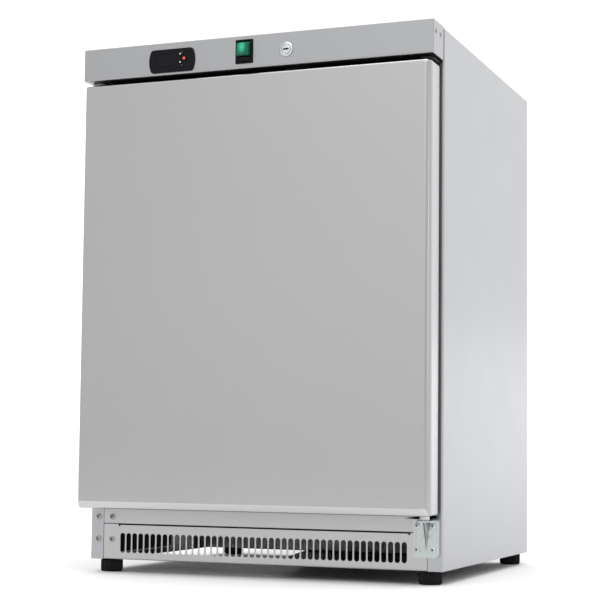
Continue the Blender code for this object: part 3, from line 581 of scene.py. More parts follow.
# ------------------------------------------------------------------ cabinet
def cabinet():
    section = folded([(-300 + 23.5, REAR), (-300, REAR), (-300, FRONT), (-300 + 23.5, FRONT)],
                     1, 3)
    for side, name in ((1, "left"), (-1, "right")):
        panel = prism(f"{name}_side_sheet", [(side * x, y) for x, y in section], "Z", BOTTOM, TOP)
        cut(panel, *[drill(-side * SCREW_X[1], FRONT, z, SCREW_HOLE) for z in SCREW_Z])
        if side < 0:
            cut(panel, prism("relief", [(275, 99.2), (281, 99.4), (294.5, 103.4), (282, 105.9),
                                        (275, 105.9)], "Y", FRONT - 3, FRONT + 1.6))
        piece(panel, CABINET, f"{name}_side_panel", bevel=0.25)

    y0, y1 = FRONT + 1.3, REAR - 1.3
    section = folded([(y1, TOP - 17), (y1, TOP), (y0, TOP), (y0, TOP - 17)], 1, 2.6)
    piece(prism("top_sheet", section, "X", -298.7, 298.7), CABINET, "top_panel", bevel=0.25)

    y, z0, z1 = 277.0, 330.0, 850.7
    mid = (0, (z0 + z1) / 2)
    hz = (z1 - z0) / 2
    rows = [(298.4, hz, y, 1), (298.4, hz, y + 0.8, 1), (272, hz - 26, y + 0.8, 10),
            (269, hz - 29, y + 3.0, 9), (266, hz - 32, y + 3.2, 8), (262, hz - 36, y + 1.0, 6),
            (260, hz - 38, y + 0.8, 5)]
    piece(loft("back_sheet", rect_rings(rows, "Y", mid)), GALVANISED, "back_panel", smooth=30)

    frame_sheet = prism("front_frame_sheet", rounded(-276.2, 276.2, 106.5, 834, 0.5, 1), "Y",
                        FRONT, FRONT + 1.2)
    cut(frame_sheet, prism("opening", rounded(-IN_X, IN_X, IN_Z0, IN_Z1, 12, 8), "Y",
                           FRONT - 5, FRONT + 5))
    piece(frame_sheet, CABINET, "front_frame", bevel=0.2)

    # painted shade: the parts under the cabinet seen through the slots get darkened galvanised
    for node, look in (("base_pan", SHADE_GREY_STEEL), ("base_frame", SHADE_DARK_STEEL),
                       ("compressor_deck", SHADE_GREY_STEEL)):
        refine(node, look, bevel=0.2)

    # black strips of painted shade: in the gap over the door, behind the ends of the control
    # strip, by the hinge
    strips = [box("strip", -252, 252, FRONT - 1.5, FRONT - 0.1, 794.2, 801.6),
              box("strip", 214, 297.5, FRONT + 2.4, FRONT + 4.4, 92, 106.3)]
    strips += [box("strip", min(s * 295.5, s * 299), max(s * 295.5, s * 299), FRONT - 2.2,
                   FRONT - 0.1, 803, 854) for s in (-1, 1)]
    piece(join("gap_shade_strips", strips), SHADE_BLACK)
    # painted shade: a black sheet under the deck darkens the view through the right-hand slots
    under_shade = prism("underside_shade_sheet", [(12, -223), (250, -223), (250, 98), (-52, 98)], "Z",
                   23.4, 24.2)
    piece(under_shade, SHADE_BLACK, bevel=0.2)
    # painted shade: a black sheet under the control strip keeps the gap over the door black
    shade_lining = box("fascia_shade_sheet", -258, 297.2, -292.6, -245.6, 800.9, 801.7)
    cut(shade_lining, cam_slot(41, 798, 805, 1.0))
    piece(shade_lining, SHADE_BLACK)


def liner_section(grow, front, r):
    """Side view of the compartment with rounded inner corners."""
    z0, z1 = IN_Z0 - grow, IN_Z1 + grow
    y_step, z_step, y_back = STEP_Y + grow, STEP_Z - grow, IN_BACK + grow
    r_in, r_out = r + grow, max(r - grow, 0.5)
    return ([(front, z0)] + arc((y_step - r_in, z0 + r_in), r_in, -math.pi / 2, 0, 6)
            + arc((y_step + r_out, z_step - r_out), r_out, math.pi, math.pi / 2, 6)
            + arc((y_back - r_in, z_step + r_in), r_in, -math.pi / 2, 0, 6)
            + arc((y_back - r_in, z1 - r_in), r_in, 0, math.pi / 2, 6) + [(front, z1)])


def liner():
    """Moulded liner: every inside corner rounded, a lip over the edge of the opening."""
    def body(name, grow, front, r):
        obj = prism(name, liner_section(grow, front, r), "X", -IN_X - grow, IN_X + grow)
        side = (IN_X + grow - 0.01) * MM

        def soften(bm):
            edges = [e for e in bm.edges
                     if all(abs(v.co.x) > side for v in e.verts) and e.calc_length() > 1e-6
                     and not all(abs(v.co.y - front * MM) < 1e-6 for v in e.verts)]
            bmesh.ops.bevel(bm, geom=edges, offset=(r + grow) * MM * 0.9, segments=5,
                            profile=0.5, affect="EDGES", clamp_overlap=True)

        edit(obj.data, soften)
        return obj

    front = FRONT + 1.5
    shell = body("liner_moulding", 1.5, front, 12)
    cut(shell, body("cavity", 0, front - 10, 12))
    piece(shell, WHITE, "inner_liner", smooth=30)

    rows = []
    for grow, y in ((0.0, FRONT + 1.4), (0.0, FRONT - 0.3), (0.5, FRONT - 0.9),
                    (1.8, FRONT - 0.9), (2.4, FRONT - 0.6), (2.4, FRONT - 0.05),
                    (0.15, FRONT - 0.05), (0.15, FRONT + 1.4)):
        rows.append([point("Y", a, b, y) for a, b in
                     rounded(-IN_X - grow, IN_X + grow, IN_Z0 - grow, IN_Z1 + grow,
                             12 + grow, 8)])
    piece(loft("liner_lip", rows, closed=True), WHITE)

    for node in ("shelf_runner_left", "shelf_runner_right"):
        refine(node, WHITE, bevel=0.6, segments=3)


def plinth():
    section = folded([(FRONT + 16, 104.6), (FRONT, 104.6), (FRONT, 79), (FRONT + 14, 79)], 1, 1.8)
    half = 275.8
    rail = prism("plinth_rail", section, "X", -half, half)
    wedge = [(238.5, 100.2), (277, 98.8), (277, 106), (268, 106), (264, 104.1)]
    cut(rail, *[drill(s * SCREW_X[0], FRONT, SCREW_Z[1], SCREW_HOLE) for s in (-1, 1)],
        prism("wedge", wedge, "Y", FRONT - 2, FRONT + 18),
        box("relief", -112, -46, FRONT - 2, FRONT + 2.5, 103.4, 106))
    piece(rail, PLINTH_STEEL, "front_rail", bevel=0.2)

    section = folded([(FRONT, 78.6), (FRONT, 21.3), (FRONT + 14, 21.3)], 1, 2.2)
    grille = prism("plinth_grille", section, "X", -half, half)
    slots, width, height, z = 45, 8.3, 31.8, 48.2
    r, straight = width / 2, (height - width) / 2
    cutters = []
    for i in range(slots):
        x = -241.3 + 480.8 * i / (slots - 1)
        outline = (arc((x, z + straight), r, 0, math.pi, 10)
                   + arc((x, z - straight), r, math.pi, 2 * math.pi, 10))
        cutters.append(prism("slot", outline, "Y", FRONT - 4, FRONT + 4))
    cut(grille, join("slots", cutters))
    hooks = [box("hook", s * 247.6 - 1.6, s * 247.6 + 1.6, FRONT - 3, FRONT + 3, 75.2, 81)
             for s in (-1, 1)]
    cut(grille, box("gap", -249, 249, FRONT - 3, FRONT + 3, 77.2, 81), *hooks,
        *[drill(s * SCREW_X[0], FRONT, SCREW_Z[0], SCREW_HOLE) for s in (-1, 1)])
    piece(grille, PLINTH_STEEL, "front_grille", bevel=0.22)
    # painted shade: a black strip behind the gap between the rail and the grille
    piece(box("rail_gap_shade", -272, 272, FRONT + 1.2, FRONT + 3, 66, 78.9), SHADE_BLACK, bevel=0.3)
    # painted shade: black sheets inside the plinth's ends darken the view through the outer slots
    for side, name in ((-1, "left"), (1, "right")):
        sheet = prism(f"plinth_shade_sheet_{name}", rounded(-205, 55, 27, 103, 6), "X",
                      side * 298.9, side * 297.6)
        piece(sheet, SHADE_BLACK, bevel=0.3)


def screw_mesh(radius, rise):
    """Flanged pan head with a cross recess, its seat at the origin, facing -Y."""
    dome = 0.66 * radius
    head = [(0.15 * radius, -rise)]
    head += [(dome * math.sin(t), -0.3 * rise - 0.7 * rise * math.cos(t))
             for t in (math.pi / 2 * k / 7 for k in range(2, 8))]
    head += [(0.72 * radius, -0.28 * rise), (0.80 * radius, -0.52 * rise),
             (0.93 * radius, -0.45 * rise), (radius, -0.22 * rise), (radius, 0.0), (2.1, 0.0),
             (2.1, 6.5)]
    screw = lathe("screw", head, "Y", (0, 0), 32)
    half, deep, blade = 0.50 * radius, 0.6 * rise, 0.55
    cut(screw, box("cross", -half, half, -rise - 1, -rise + deep, -blade, blade),
        box("cross", -blade, blade, -rise - 1, -rise + deep, -half, half),
        drill(0, -rise, 0, 0.27 * radius, reach=1.5 * rise, sides=12))
    mesh = screw.data
    remove(screw)
    return mesh


def screws():
    for side, name, seat, radius, rise, look in (
            (1, "hinge_screw", FRONT - 3.6, 4.6, 2.5, LIGHT_SCREW),
            (-1, "blanking_screw", FRONT - GAP, 5.0, 2.8, SCREW)):
        mesh = screw_mesh(radius, rise)
        places = [(side * x, z) for z in SCREW_Z for x in SCREW_X]
        for number, (x, z) in enumerate(places, 1):
            head = stamp(f"{name}_head_{number}", mesh, (x, seat, z), 0.5 * number + side, "Y")
            piece(head, look, f"{name}_{number}")
            # painted shade: the faces inside the cross recess are black
            second_look(head, BLACK, lambda at, normal: (
                at.y - seat > -0.62 * rise - 0.2
                and math.hypot(at.x - x, at.z - z) < 0.55 * radius))
    for side in (-1, 1):
        for number, y in enumerate((-283.0, -258.7), 1):
            obj = lathe(f"fascia_end_screw_{'lr'[side > 0]}{number}",
                        [(1.5, side * 296.5), (1.6, side * 299.98), (2.6, side * 299.9),
                         (3.0, side * 299.3), (3.3, side * 299.3), (3.7, side * 299.6),
                         (4.2, side * 299.25), (2.0, side * 299.2), (2.0, side * 294)],
                        "X", (y, 837.5), 28)
            piece(obj, GREY_ZINC)
    back = screw_mesh(3.6, 1.9)
    places = ([(x, z) for x in (-285, -95, 95, 285) for z in (340, 838)]
              + [(x, z) for x in (-285, 285) for z in (505, 672)])
    backs = [stamp("back", back, (x, 277.8, z), math.pi) for x, z in places]
    piece(join("back_sheet_screws", backs), ZINC)


def feet():
    profile = [(14.5, 0.0), (16.4, 0.5), (17.8, 2.2), (18, 3.2), (18, 17.8), (17.4, 19.6),
               (16, 20.7), (5.2, 20.7), (5.2, 21.4)]
    z = 21.4
    while z < 44:
        profile += [(3.5, z + 0.3), (4.0, z + 0.75), (3.5, z + 1.2)]
        z += 1.25
    profile += [(3.2, 45)]
    names = {"front_left": (-273.4, -215), "rear_left": (-273.4, 280),
             "front_right": (273.4, -215), "rear_right": (273.4, 280)}
    for name, (x, y) in names.items():
        first, second = name.split("_")
        foot = lathe(f"levelling_foot_{name}", profile, "Z", (x, y), 88, ribs=0.9)
        piece(foot, BLACK, f"foot_{first}_{second}", body=f"{name}_foot", smooth=60)


# ------------------------------------------------------------------ door
def hinge_bores(reach):
    """Cutters for the bush holes in the bottom and top of the door."""
    return [drill(*HINGE, z, BUSH_HOLE, "Z", reach, 32) for z in (DOOR_Z0, DOOR_Z1)]


def door():
    skin = pan("door_panel", -DOOR_X, DOOR_X, DOOR_Z0, DOOR_Z1, DOOR_Y0, DOOR_Y1,
               (2.2, 11, 8, 4), 0.8, lip=12.0, corner=(2.2, 4, 5, 2.4), roll=True)
    cut(skin, cam_slot(23, DOOR_Z1 - 4, DOOR_Z1 + 5), *hinge_bores(4))
    piece(skin, DOOR_STEEL, "door_skin", body="door", smooth=32)
    # painted reflection: the downward faces of the rolled bottom edge get the lighter steel
    second_look(skin, FLOOR_REFLECTION_STEEL, lambda at, normal: (
        at.z < DOOR_Z0 + 10.9 and at.y < DOOR_Y0 + 4.5 and normal.y < -0.5))

    half_x, half_z = DOOR_X - 1.4, (DOOR_Z1 - DOOR_Z0) / 2 - 1.4
    rows = [(half_x - d, half_z - d, y, max(12 - d, 3)) for y, d in
            ((-251.8, 0), (-280, 0), (-287, 1.6), (-291, 4.5), (-293.4, 9), (-293.8, 12))]
    core = loft("door_foam_core", rect_rings(rows, "Y", DOOR_MID, 5))
    cut(core, cam_slot(23, DOOR_Z1 - 10, DOOR_Z1 + 5, 0.5), *hinge_bores(20))
    piece(core, FOAM, "door_foam", body="door")

    for name, z, way in (("lower", DOOR_Z0, 1), ("upper", DOOR_Z1, -1)):
        profile = [(4.5, z), (6.7, z), (7, z + way * 0.3), (7, z + way * 19), (4.3, z + way * 19),
                   (4.3, z + way * 0.3)]
        piece(lathe(f"hinge_bush_{name}_ring", profile, "Z", HINGE, 40, closed=True), WHITE,
              f"hinge_bush_{name}", body="door")

    rows = [(232.5, 282.5, -229.5, 12), (238.5, 288.5, -235.5, 14.5), (238.5, 288.5, -251.5, 14.5),
            (283, 331.95, -251.5, 4), (283, 331.95, -250, 4), (243, 293, -250, 19),
            (241, 291, -249.2, 17), (240, 290, -247.5, 16), (240, 290, -235, 16),
            (239.4, 289.4, -232, 15.5), (237.6, 287.6, -229.2, 14.5), (234.6, 284.6, -227.4, 12.5),
            (231, 281, -226.8, 10), (227.5, 277.5, -227.4, 8), (225.5, 275.5, -228.4, 7),
            (223.5, 273.5, -228.6, 6)]
    panel = loft("door_liner_moulding", rect_rings(rows, "Y", DOOR_MID, 6))
    piece(panel, WHITE, "door_liner", body="door", smooth=40)
    ribs = []
    for z in (240, 380, 520, 660):
        rows = [(206, 7, -228.7, 6.9), (204, 5.6, -227.9, 5.5), (201, 3.4, -227.5, 3.3)]
        ribs.append(loft("rib", rect_rings(rows, "Y", (0, z), 6)))
    piece(join("door_liner_ribs", ribs), WHITE, body="door")

    section = [(2, -249.7), (17, -249.7), (17.6, -248.9), (14.8, -247.9), (13.6, -246.6),
               (16.4, -245.5), (20.3, -245.1), (21, -244.4), (21, -240.9), (20.5, -240.3),
               (0.6, -240.3), (0, -240.9), (0, -244.4), (0.7, -245.1), (4.2, -245.5),
               (5.8, -246.6), (4.4, -247.9), (1.4, -248.9)]
    rings = rect_rings([(278.5 - u, 339.2 - u, y, max(3.0 - 0.1 * u, 0.6)) for u, y in section],
                       "Y", DOOR_MID, 3)
    piece(loft("door_gasket_profile", rings, closed=True), RUBBER, "door_gasket", body="door",
          smooth=50)


# ------------------------------------------------------------------ hinges
def hinges():
    x0, x1, front = 255.0, 296.0, FRONT - GAP
    z0, z1, rib_x = 41.4, 99.0, 275.5
    plate = prism("hinge_bracket", rounded(x0, x1, z0, z1, (8, 8, 0.3, 0.3), 6), "Y",
                  front - 3, front)
    nose = arc(HINGE, 13, math.pi, 2 * math.pi, 20)
    leaf = [(x1 - 2.3, front - 0.5), (x0 + 12.7, front - 0.5)] + nose
    rings = []
    for k in range(9):
        s = k / 8
        half, depth = 1.2 + 5.2 * s, 0.8 + 14.2 * s ** 1.35
        z = 52.0 + (97.4 - 52.0) * s
        rings.append([(rib_x + half * u, front - 2.2 - depth * v, z)
                      for u, v in ((1, 0), (0.80, 0.16), (0.45, 0.62), (0.22, 0.93), (0.08, 1.0),
                                   (-0.08, 1.0), (-0.22, 0.93), (-0.45, 0.62), (-0.80, 0.16),
                                   (-1, 0))])
    add(plate, prism("leaf", leaf, "Z", z1 - 2.5, z1 - 0.2), loft("gusset", rings))
    crease = [(front - 30, 96.2), (front - 30, 54), (front - 2.4, 54), (front - 3.2, 96.2)]
    cut(plate, prism("crease", crease, "X", rib_x - 0.55, rib_x + 0.55))
    bumps = [lathe("bump", [(0.3, front - 4.2), (1.0, front - 4.0), (1.5, front - 3.4),
                            (1.6, front - 2.5)], "Y", (rib_x + dx, z), 16)
             for dx, z in ((7.2, 84.5), (4.2, 72.5))]
    add(plate, *bumps)
    pin = [(4, z1 - 1), (4, 119.8), (3.6, 120.6), (2.8, 121)]
    add(plate, lathe("pin", pin, "Z", HINGE, 32))
    cut(plate, *[drill(x, front, z, SCREW_HOLE) for x in SCREW_X for z in SCREW_Z])
    piece(plate, ZINC, "lower_hinge_bracket", bevel=0.35, segments=3)

    profile = [(4.6, 99.3), (7.1, 99.3), (7.5, 99.7), (7.5, 104.7), (7.1, 105.1), (4.6, 105.1),
               (4.3, 104.8), (4.3, 99.6)]
    piece(lathe("hinge_spacer", profile, "Z", HINGE, 40, closed=True), WHITE, "hinge_washer")
    # painted shade: the upper bracket, deep in the gap over the door, gets near-black zinc
    refine("upper_hinge_bracket", SHADED_ZINC, bevel=0.35, segments=3)

    spare = [(-x1 + 2.3, FRONT - 0.6), (-x0 - 12.7, FRONT - 0.6)]
    spare += [(-x, y) for x, y in nose]
    plate = prism("spare_hinge_plate", spare, "Z", 798.6, 800.4)
    leg = box("leg", -x1 + 1, -x0 - 12, FRONT - 3.2, FRONT - 0.4, 799, 833)
    add(plate, leg)
    # painted shade: darker zinc for the plate in the dark gap under the control strip
    piece(plate, GREY_ZINC, bevel=0.35, segments=2)


# ------------------------------------------------------------------ control strip
def fascia():
    shell = pan("fascia_panel", -FASCIA_X, FASCIA_X, FASCIA_Z0, FASCIA_Z1, DOOR_Y0, FRONT - 2.9,
                (1.6, 1.8, 3.0, 2.0), 1.0, corner=1.4)

    def window(place, w, h):
        x, z = place
        return box("window", x - w / 2, x + w / 2, DOOR_Y0 - 5, DOOR_Y0 + 5, z - h / 2, z + h / 2)

    cut(shell, window(CONTROLLER, 71, 29), window(SWITCH, 27, 36.4),
        drill(LOCK[0], DOOR_Y0, LOCK[1], 9.8, sides=32),
        cam_slot(32, FASCIA_Z0 - 3, FASCIA_Z0 + 3),
        *[box("hinge_notch", x, x + 43, FRONT - 4.3, FRONT + 5, FASCIA_Z0 - 3, FASCIA_Z0 + 3)
          for x in (254, -297)])
    piece(shell, FASCIA_STEEL, "control_fascia", smooth=32)


def controller():
    cx, cz = CONTROLLER
    front = DOOR_Y0 - 3
    half_w, half_h, bulge, soft = 36.2, 19.0, 4.5, 3.6
    radius = (half_h ** 2 + bulge ** 2) / (2 * bulge)
    sweep = math.asin((half_h - soft) / radius)
    end = half_w + bulge - radius
    side = arc((end, 0), radius, -sweep, sweep, 12)
    (bx, bz), tip = side[-1], half_w - 4.6
    corner = [((1 - t) ** 2 * bx + 2 * t * (1 - t) * (half_w + 0.2) + t * t * tip,
               (1 - t) ** 2 * bz + 2 * t * (1 - t) * half_h + t * t * half_h)
              for t in (0.14, 0.29, 0.43, 0.57, 0.71, 0.86, 1.0)]
    right = [(x, -z) for x, z in corner[::-1]] + side + corner
    outline = [(cx - 0.6 + x, cz + z) for x, z in right + [(-x, -z) for x, z in right]]
    rows = [(offset(outline, 1.9), front), (offset(outline, 1.0), front + 0.16),
            (offset(outline, 0.35), front + 0.6), (outline, front + 1.4),
            (outline, DOOR_Y0 - GAP)]
    housing = loft("controller_case", [[point("Y", a, b, y) for a, b in o] for o, y in rows])
    add(housing, prism("body", rounded(cx - 35, cx + 35, cz - 14, cz + 14, 1.5, 3), "Y",
                       front + 1, -245))
    lens = (cx - 25, cx + 8, cz - 9, cz + 10)
    cut(housing, prism("pocket", rounded(*lens, 1.4, 5), "Y", front - 5, front + 1.2),
        *[drill(x, front, z, 3.9, "Y", 4, 32) for x, z in KEYS.values()])
    piece(housing, GLOSS_BLACK, "controller_housing", smooth=45)

    g = GAP
    rows = [(front + 0.9, 0.0), (front + 0.1, 0.0), (front - 0.02, 0.15), (front - 0.1, 0.45)]
    rings = [[point("Y", a, b, y) for a, b in
              rounded(lens[0] + g + s, lens[1] - g - s, lens[2] + g + s, lens[3] - g - s,
                      max(1.1 - s, 0.3), 5)] for y, s in rows]
    piece(loft("controller_window", rings), DISPLAY, "display_lens")

    for name, (x, z) in KEYS.items():
        cap = [(0.8, front - 0.9), (2.2, front - 0.98), (3.0, front - 1.1), (3.4, front - 1.02),
               (3.6, front - 0.7), (3.6, front + 1.9)]
        piece(lathe(f"controller_key_{name}", cap, "Y", (x, z), 40), KEY, f"key_{name}",
              body=f"{name}_key", smooth=50)
        if name == "set":
            dot = lathe("set_indicator", [(0.4, front - 1.75), (1.4, front - 1.6),
                                          (2.1, front - 1.25), (2.3, front - 0.9)], "Y",
                        (x - 0.9, z + 0.6), 28)
            piece(dot, LED, body="set_key")
        else:
            up = 1 if name == "up" else -1
            tri = [(x + 1.0, z + up * 0.2), (x + 2.6, z + up * 0.2), (x + 1.8, z + up * 1.8)]
            piece(prism(f"{name}_key_arrow", tri if up > 0 else tri[::-1], "Y", front - 1.16,
                        front - 0.8), FAINT_MARK, body=f"{name}_key", smooth=20)
    up_x, up_z = KEYS["up"]
    dot = [(0.3, front - 1.35), (0.9, front - 1.3), (1.2, front - 1.15), (1.25, front - 0.9)]
    piece(lathe("up_key_dot", dot, "Y", (up_x - 1.9, up_z - 1.6), 24), MARK, body="up_key")
    dot = [(0.3, front - 0.4), (0.9, front - 0.35), (1.15, front - 0.15), (1.2, front + 0.2)]
    piece(lathe("controller_marks", dot, "Y", (-123.3, 820.4), 24), MARK)


def power_switch():
    cx, cz = SWITCH
    front = DOOR_Y0 - 2
    rows = [(15, 19.3, DOOR_Y0 - GAP, 1.6), (15, 19.3, front + 0.9, 1.6),
            (14.75, 19.05, front + 0.3, 1.5), (14.2, 18.5, front, 1.2)]
    housing = loft("switch_bezel", rect_rings(rows, "Y", SWITCH, 6))
    add(housing, box("body", cx - 13.2, cx + 13.2, front + 1, -268, cz - 17.9, cz + 17.9))
    cut(housing, prism("cavity", rounded(cx - 11, cx + 11, cz - 17.2, cz + 17.2, 0.8, 3), "Y",
                       front - 5, -278))
    piece(housing, GLOSS_BLACK, "switch_housing", smooth=45)

    lens = [(-14.6, -8.2), (-15, -6), (-14.9, 0), (-14.6, 6), (-14.2, 9.6), (-13.5, 12.2),
            (-12, 13.1), (-10, 13.9), (-6, 15.2), (-3, 15.8), (6, 5.6), (6, -8.2)]
    base = [(6, -8.4), (-13.6, -8.4), (-11.5, -9.2), (-8.8, -10.2), (-7.4, -12.4), (-6.2, -16),
            (-3, -16), (6, -9.2)]
    for name, outline, look, node, half, bevel in (
            ("rocker_lens", lens, LENS, "switch_rocker", 10.6, 1.3),
            ("rocker_heel", base, GLOSS_BLACK, None, 10.5, 0.6)):
        obj = prism(name, [(ROCKER_Y + y, cz + z) for y, z in outline], "X", cx - half, cx + half)
        piece(obj, look, node, body="rocker", bevel=bevel, segments=4, smooth=30, limit=50)


def lock():
    cx, cz = LOCK
    face, rear = DOOR_Y0 - 2.4, -273.0
    ring = [(7.9, face + 0.5), (8.1, face + 0.15), (8.6, face), (9.4, face + 0.02),
            (10.2, face + 0.2), (10.9, face + 0.6), (11.3, face + 1.2), (11.4, face + 1.8),
            (11.4, DOOR_Y0 - GAP), (9.5, DOOR_Y0 - GAP), (9.5, rear), (7.9, rear)]
    piece(lathe("lock_rosette", ring, "Y", (cx, cz), 64, closed=True), CHROME, "lock_barrel",
          smooth=50)
    plug = lathe("lock_cylinder", [(5.5, face + 0.12), (6.6, face + 0.1), (7.3, face + 0.25),
                                   (7.6, face + 0.7), (7.6, rear + 0.5)], "Y", (cx, cz), 56)
    cut(plug, prism("keyway", rounded(cx - 4.6, cx + 4.6, cz - 1.3, cz + 1.3, 0.5, 3), "Y",
                    face - 5, face + 7))
    piece(plug, CHROME, "lock_plug", body="lock", smooth=45)
    # painted shade: the keyway's inside faces are black
    second_look(plug, BLACK, lambda at, normal: (
        at.y > face + 0.8 and abs(at.x - cx) < 4.7 and abs(at.z - cz) < 1.4))
    outline = (arc((cx, cz), 7, math.pi / 2, 1.5 * math.pi, 16)
               + arc((cx + 33.5, cz), 5, -math.pi / 2, math.pi / 2, 12))
    piece(prism("lock_cam_plate", outline, "Y", -272, -270), ZINC, "lock_cam", body="lock",
          bevel=0.25)


# ------------------------------------------------------------------ interior
def shelves():
    x1, y0, y1 = 247.0, -210.0, 186.0
    rods = []
    r = 2.4
    loop = []
    for quarter, (cx, cy) in enumerate(((x1 - 12, y1 - 12), (-x1 + 12, y1 - 12),
                                        (-x1 + 12, y0 + 12), (x1 - 12, y0 + 12))):
        loop += arc((cx, cy), 12 - r, quarter * math.pi / 2, (quarter + 1) * math.pi / 2, 6)
    rings = []
    for i, (a, b) in enumerate(loop):
        before, after = Vector(loop[i - 1]), Vector(loop[(i + 1) % len(loop)])
        t = (after - before).normalized()
        side = Vector((t.y, -t.x))
        rings.append([(a + side.x * r * math.cos(s), b + side.y * r * math.cos(s),
                       2.5 + r * math.sin(s)) for s in (2 * math.pi * k / 10 for k in range(10))])
    rods.append(loft("rim", rings, closed=True))
    for y in (-105, -12, 81):
        rods.append(tube("cross", [(-x1 + 3, y, 1.6), (x1 - 3, y, 1.6)], 1.6, 8))
    wires = 24
    for i in range(wires):
        x = -x1 + 14 + (2 * x1 - 28) * i / (wires - 1)
        rods.append(tube("wire", [(x, y0 + 3, 3.7), (x, y1 - 3, 3.7)], 1.3, 8))
    source = join("shelf", rods)
    for number, z in enumerate(SHELF_Z, 1):
        piece(stamp(f"shelf_wirework_{number}", source.data, (0, 0, z)), WIRE,
              f"wire_shelf_{number}", smooth=60)
    remove(source)


def cold_unit():
    y0, y1 = 193.0, IN_BACK - GAP
    cover = pan("evaporator_housing", -200, 200, 398, 742, y0, y1, (9, 9, 9, 9), 1.5, corner=14,
                steps=6)
    slits = around(20, lambda: prism("slit", rounded(14, 46, -1.5, 1.5, 1.4, 4), "Y", 185, 198),
                   FAN_Z)
    slits += [prism("slit", rounded(s * 24 - 3, s * 24 + 3, 430, 500, 2.9, 5), "Y", 185, 198)
              for s in range(-6, 7)]
    cut(cover, join("slits", slits))
    piece(cover, WHITE, "evaporator_cover", smooth=35)
    ring = [(48.5, 193.3), (49, 191.6), (50.5, 190.8), (53, 190.8), (54.5, 191.6), (55, 193.3)]
    piece(lathe("fan_guard_ring", ring, "Y", (0, FAN_Z), 72, closed=True), WHITE)
    refine("evaporator_plate", ALUMINIUM, bevel=0.3)

    motor = [(17.2, 209), (18.8, 209.5), (20, 211), (20, 224), (19.2, 226.4), (18, 228.4)]
    piece(lathe("fan_motor_can", motor, "Y", (0, FAN_Z), 48), GALVANISED, "fan_motor")
    hub = lathe("fan_wheel", [(3, 197.6), (8, 198), (11.6, 198.8), (13, 200.4), (13, 208.6)],
                "Y", (0, FAN_Z), 40)
    rings = []
    for i in range(9):
        chord, pitch = 11.5 + 3.5 * math.sin(math.pi * i / 8), math.radians(30 - 16 * i / 8)
        rings.append([(11 + 36 * i / 8,
                       203 + w * math.cos(pitch) + u * chord * math.sin(pitch) * 0.45,
                       u * chord * math.cos(pitch))
                      for u, w in ((-1, 0), (-0.5, 0.6), (0.2, 0.8), (1, 0), (0.2, 0.1),
                                   (-0.5, -0.1))])
    vanes = around(5, lambda: loft("vane", rings), FAN_Z)
    piece(join("fan_wheel_moulding", [hub] + vanes), BLACK, "fan_blade", body="fan", smooth=50)

    probe = [(0.8, 95), (1.6, 95.3), (2.7, 96.4), (3, 97.8), (3, 134.4), (2.6, 135.4),
             (1.4, 136), (1.4, 150)]
    piece(lathe("probe_bulb", probe, "Y", (-150, IN_Z1 - 3.3), 28), FASCIA_STEEL,
          "temperature_probe")


# ------------------------------------------------------------------ machine compartment
COMPRESSOR = (40.0, 185.0, 25.9)           # middle of its foot plate, on the deck


